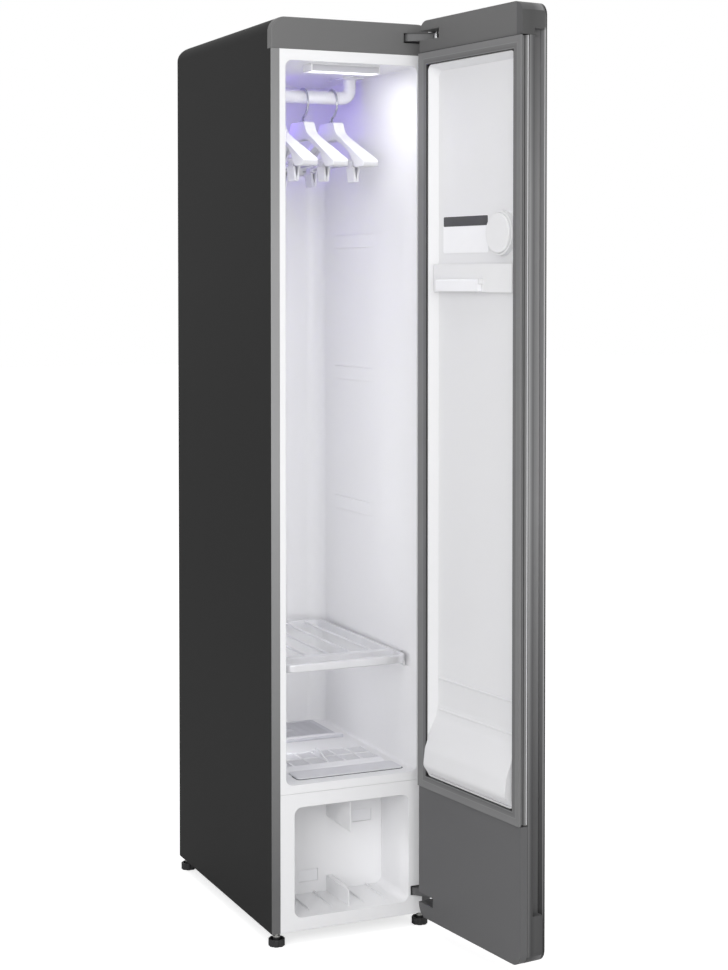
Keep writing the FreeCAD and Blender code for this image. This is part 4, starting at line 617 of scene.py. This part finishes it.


# Seen from its edge the paint ends in a pale grey towards the frame; a thin painted highlight
# stands for the ground edge's shine behind the pull channel, and the darker bands after it are
# painted shade. The edge is also painted darker towards the floor and at the top, painted shade.
# The front is an even, deep gloss.
place = add(tree, "TexCoord").outputs["Object"]
from_hinge, from_liner = across_door(tree, place)
# Painted highlight and painted shade in bands across the sheet's edge.
sheet = layers(tree, from_liner, door_depth, (0.0, "#8a8a8b"), (0.0503, "#8a8a8b"),
               (0.0506, "#c4c4c5"), (0.0518, "#c4c4c5"), (0.0524, "#5a5a5b"),
               (door_depth, "#4a4a4b"))
front = add(tree, "Math", [(from_liner, 0), (glass_face, 1)], operation="GREATER_THAN")
level = add(tree, "SeparateXYZ", [(place, 0)]).outputs["Z"]
# Painted shade by height: darker towards the floor and at the top.
painted_height_shade = layers(tree, level, 1.9, (0.0, "#3c3c3c"), (0.12, "#5a5a5a"), (0.14, "#8c8c8c"),
                     (0.9, "#ffffff"), (1.797, "#f0f0f0"), (1.803, "#7c7c7c"))
edge = add(tree, "Mix", [(1.0, 0), (sheet, 6), (painted_height_shade, 7)], data_type="RGBA",
           blend_type="MULTIPLY")
paint = add(tree, "Mix", [(front.outputs[0], 0), (edge.outputs[2], 6), (colour("#3d3d3f"), 7)],
            data_type="RGBA")
tree.links.new(paint.outputs[2], shader.inputs["Base Color"])
finish(tempered_glass, "door_panel")

dark_abs, tree, shader = material("dark_grey_abs")
shader.inputs["Specular IOR Level"].default_value = 0.4
place, tint = mottled(tree, shader, "#5e5e5f", "#59595a", 0.25, 0.46, 0.03)
grained(tree, shader, place, 0.0011, 0.00006, 0.0011)
finish(dark_abs, "lower_cover")

# Light and shade are painted on the frame's free edge: a painted highlight on the rounded strip
# by the liner, then the pull channel, whose hollow is painted paler towards the glass; all of it
# painted darker towards the floor and near the top, painted shade. The top cap is the same
# moulding grey, with painted shade in bands across its edge.
edge_strip_start, channel_floor = 0.3325, 0.3505
# Painted highlight and shade across the ring's edge; painted shade across the cap's.
ring_painted_light_and_shade = ((0.0, "#6e6e6f"), (0.0045, "#747475"), (0.0065, "#c6c6c6"), (0.011, "#b4b4b4"),
             (0.019, "#8c8c8d"), (0.0245, "#626263"), (0.034, "#757576"), (door_depth, "#6c6c6d"))
cap_painted_shade = ((0.0, "#646464"), (0.020, "#5c5c5c"), (door_depth, "#686868"))
for name, pale, deep, node, painted_tones in (
        ("edge_lit_grey_abs", "#6c6c6d", "#676768", "door_ring", ring_painted_light_and_shade),
        ("door_cap_grey_abs", "#646464", "#5f5f5f", "door_cap", cap_painted_shade)):
    made, tree, shader = material(name)
    shader.inputs["Specular IOR Level"].default_value = 0.4
    place, tint = mottled(tree, shader, pale, deep, 0.25, 0.44, 0.03)
    grained(tree, shader, place, 0.0011, 0.00006, 0.0011)
    from_hinge, from_liner = across_door(tree, place)
    skin = layers(tree, from_liner, door_depth, *painted_tones)
    # Painted light: the channel's hollow grows paler towards the glass.
    painted_hollow_light = layers(tree, from_liner, door_depth, (0.028, "#6e6e6f"), (door_depth, "#b4b4b5"))
    edge = add(tree, "Math", [(from_hinge, 0), (edge_strip_start, 1)], operation="GREATER_THAN")
    outside = add(tree, "Math", [(from_hinge, 0), (channel_floor, 1)], operation="GREATER_THAN")
    free = add(tree, "Mix", [(outside.outputs[0], 0), (painted_hollow_light, 6), (skin, 7)], data_type="RGBA")
    level = add(tree, "SeparateXYZ", [(place, 0)]).outputs["Z"]
    # Painted shade by height: darker towards the floor and near the top.
    painted_height_shade = layers(tree, level, 1.9, (0.0, "#a0a0a0"), (0.35, "#b4b4b4"), (0.9, "#ffffff"),
                         (1.5, "#f0f0f0"), (1.76, "#c0c0c0"))
    with_painted_shade = add(tree, "Mix", [(1.0, 0), (free.outputs[2], 6), (painted_height_shade, 7)],
                 data_type="RGBA", blend_type="MULTIPLY")
    toned = add(tree, "Mix", [(edge.outputs[0], 0), (tint.outputs[2], 6), (with_painted_shade.outputs[2], 7)],
                data_type="RGBA")
    tree.links.new(toned.outputs[2], shader.inputs["Base Color"])
    finish(made, node)

# The door's core is cut from a block of polystyrene foam, chalky, with beads 4 mm across.
cut_foam, tree, shader = material("cut_polystyrene_foam")
place, tint = mottled(tree, shader, "#e6e4dc", "#d6d3c8", 0.004, 0.9, 0.05)
grained(tree, shader, place, 0.004, 0.0006)
finish(cut_foam, "foam_core")

# ---- Door gasket -----------------------------------------------------------------------------
# A bellows of soft grey PVC round the liner, extruded and welded at its corners, with a magnet
# strip inside. It has a dull, slightly waxy face.
gasket_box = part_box("door_gasket")
gasket_width = 0.026
gasket_near, gasket_far = 0.0315, 0.328
gasket_low, gasket_high = gasket_box[0][2] + gasket_width, gasket_box[1][2] - gasket_width
gap_shade_start = gasket_high + 0.0248

soft_pvc, tree, shader = material("soft_grey_pvc")
place, tint = mottled(tree, shader, "#828282", "#7a7a7b", 0.08, 0.5, 0.05)
grained(tree, shader, place, 0.003, 0.00008, 0.0014)

# Its folds are painted: painted shade in the grooves and painted highlights on the ridges that
# run round it, in tones by the distance out from the inner lip. Above its upper edge the gap to
# the door's cap is painted dark, painted shade.
from_hinge, from_liner = across_door(tree, place)
level = add(tree, "SeparateXYZ", [(place, 0)]).outputs["Z"]
beyond = []
for reading, near, far in ((from_hinge, gasket_near, gasket_far), (level, gasket_low, gasket_high)):
    middle = add(tree, "Math", [(reading, 0), ((near + far) / 2, 1)], operation="SUBTRACT")
    out = add(tree, "Math", [(middle.outputs[0], 0)], operation="ABSOLUTE")
    past = add(tree, "Math", [(out.outputs[0], 0), ((far - near) / 2, 1)], operation="SUBTRACT")
    beyond.append(past.outputs[0])
from_lip = add(tree, "Math", [(beyond[0], 0), (beyond[1], 1)], operation="MAXIMUM")
painted_fold_shading = layers(tree, from_lip.outputs[0], 0.030, (0.0, "#6a6a6a"), (0.0010, "#5c5c5c"),
               (0.0016, "#ffffff"), (0.0026, "#e8e8e8"), (0.0036, "#c4c4c4"),
               (0.0110, "#dadada"), (0.0122, "#ffffff"), (0.0132, "#e6e6e6"), (0.030, "#eeeeee"))
with_painted_folds = add(tree, "Mix", [(1.0, 0), (tint.outputs[2], 6), (painted_fold_shading, 7)], data_type="RGBA",
             blend_type="MULTIPLY")
# Painted shade: above the gasket's upper edge the colour is a dark grey.
rim = add(tree, "Math", [(level, 0), (gap_shade_start, 1)], operation="GREATER_THAN")
with_painted_gap_shade = add(tree, "Mix", [(rim.outputs[0], 0), (with_painted_folds.outputs[2], 6), (colour("#2c2c2c"), 7)],
             data_type="RGBA")
tree.links.new(with_painted_gap_shade.outputs[2], shader.inputs["Base Color"])
finish(soft_pvc, "door_gasket")

# ---- Pieces on the door liner ----------------------------------------------------------------
# The door's liner is the same polystyrene as the cavity's, in a white without any blue. On it sit
# the twist cap and its seat, the clamp bar for hems and its lever, all in satin ABS.
door_white, tree, shader = material("neutral_white_polystyrene")
place, tint = mottled(tree, shader, "#e1e1e2", "#dcdcde", 0.4, 0.32, 0.03)
grained(tree, shader, place, 0.009, 0.00009, 0.0016)
finish(door_white, "door_liner")
clip_abs, tree, shader = material("pale_satin_abs")
place, tint = mottled(tree, shader, "#e4e4e5", "#dededf", 0.06, 0.38, 0.04)
grained(tree, shader, place, 0.0012, 0.00004, 0.0012)
finish(clip_abs, "cap_ring", "clamp_bar", "twist_cap")
finish(white_abs, "clamp_lever")

# A thin printed plate of smooth film is let into the liner above the clamp bar, with a dark band
# along its top. It carries nothing.
dish_depth = 0.018
plate_start, plate_end, plate_low, plate_high = 0.062, 0.217, 1.384, 1.457
plate_corner, plate_thickness, plate_bed = 0.004, 0.0008, 0.0002
band_low, band_margin, band_corner = 1.4365, 0.0012, 0.0024
band_proud, band_bed = 0.0003, 0.0001
plate_face = dish_depth - plate_thickness


def on_door(u, v, z):
    """Place on the open door: u from the hinge edge, v from the inner face towards the front."""
    shut = Vector((door_right - u, door_inner - v, z))
    return Matrix.Rotation(door_open, 3, "Z") @ (shut - hinge_axis) + hinge_axis


def door_slip(u0, u1, z0, z1, radius, low, high):
    """Thin rounded plate on the open door between two depths."""
    outline = []
    for cu, cz, start in ((u1 - radius, z1 - radius, 0), (u0 + radius, z1 - radius, 90),
                          (u0 + radius, z0 + radius, 180), (u1 - radius, z0 + radius, 270)):
        for step in range(7):
            turn = math.radians(start + 15 * step)
            outline.append((cu + radius * math.cos(turn), cz + radius * math.sin(turn)))
    count = len(outline)
    vertices = [on_door(u, high, z) for u, z in outline] + [on_door(u, low, z) for u, z in outline]
    faces = [tuple(reversed(range(count))), tuple(range(count, 2 * count))]
    faces += [(i, (i + 1) % count, count + (i + 1) % count, count + i) for i in range(count)]
    return vertices, faces


printed_film, tree, shader = material("white_printed_film")
place, tint = mottled(tree, shader, "#efeff1", "#ebebed", 0.03, 0.33, 0.04)
grained(tree, shader, place, 0.0015, 0.00003)
dark_print, tree, shader = material("charcoal_printed_film")
place, tint = mottled(tree, shader, "#4a4a4c", "#424244", 0.02, 0.36, 0.04)
grained(tree, shader, place, 0.0015, 0.00003)
field = door_slip(plate_start, plate_end, plate_low, plate_high, plate_corner, plate_face,
                  dish_depth + plate_bed)
band = door_slip(plate_start + band_margin, plate_end - band_margin, band_low,
                 plate_high - band_margin, band_corner, plate_face - band_proud,
                 plate_face + band_bed)
show("plate_field", *field, printed_film, "door")
show("plate_band", *band, dark_print, "door")

# ---- Feet ------------------------------------------------------------------------------------
# Black glass-filled nylon knobs on zinc-plated studs. The stud and its collar are bright where
# they show between the knob and the base pan.
collar_start = 0.0175

foot_nylon, tree, shader = material("black_nylon_on_zinc_stud")
place, tint = mottled(tree, shader, "#29292a", "#202021", 0.01, 0.46, 0.05)
grained(tree, shader, place, 0.001, 0.0001, 0.0008)
level = add(tree, "SeparateXYZ", [(place, 0)]).outputs["Z"]
stud = add(tree, "Math", [(level, 0), (collar_start, 1)], operation="GREATER_THAN")
bright = add(tree, "Mix", [(stud.outputs[0], 0), (tint.outputs[2], 6), (colour("#c4c4c1"), 7)],
             data_type="RGBA")
tree.links.new(bright.outputs[2], shader.inputs["Base Color"])
tree.links.new(stud.outputs[0], shader.inputs["Metallic"])
finish(foot_nylon, "foot_front_left", "foot_front_right", "foot_back_left", "foot_back_right")
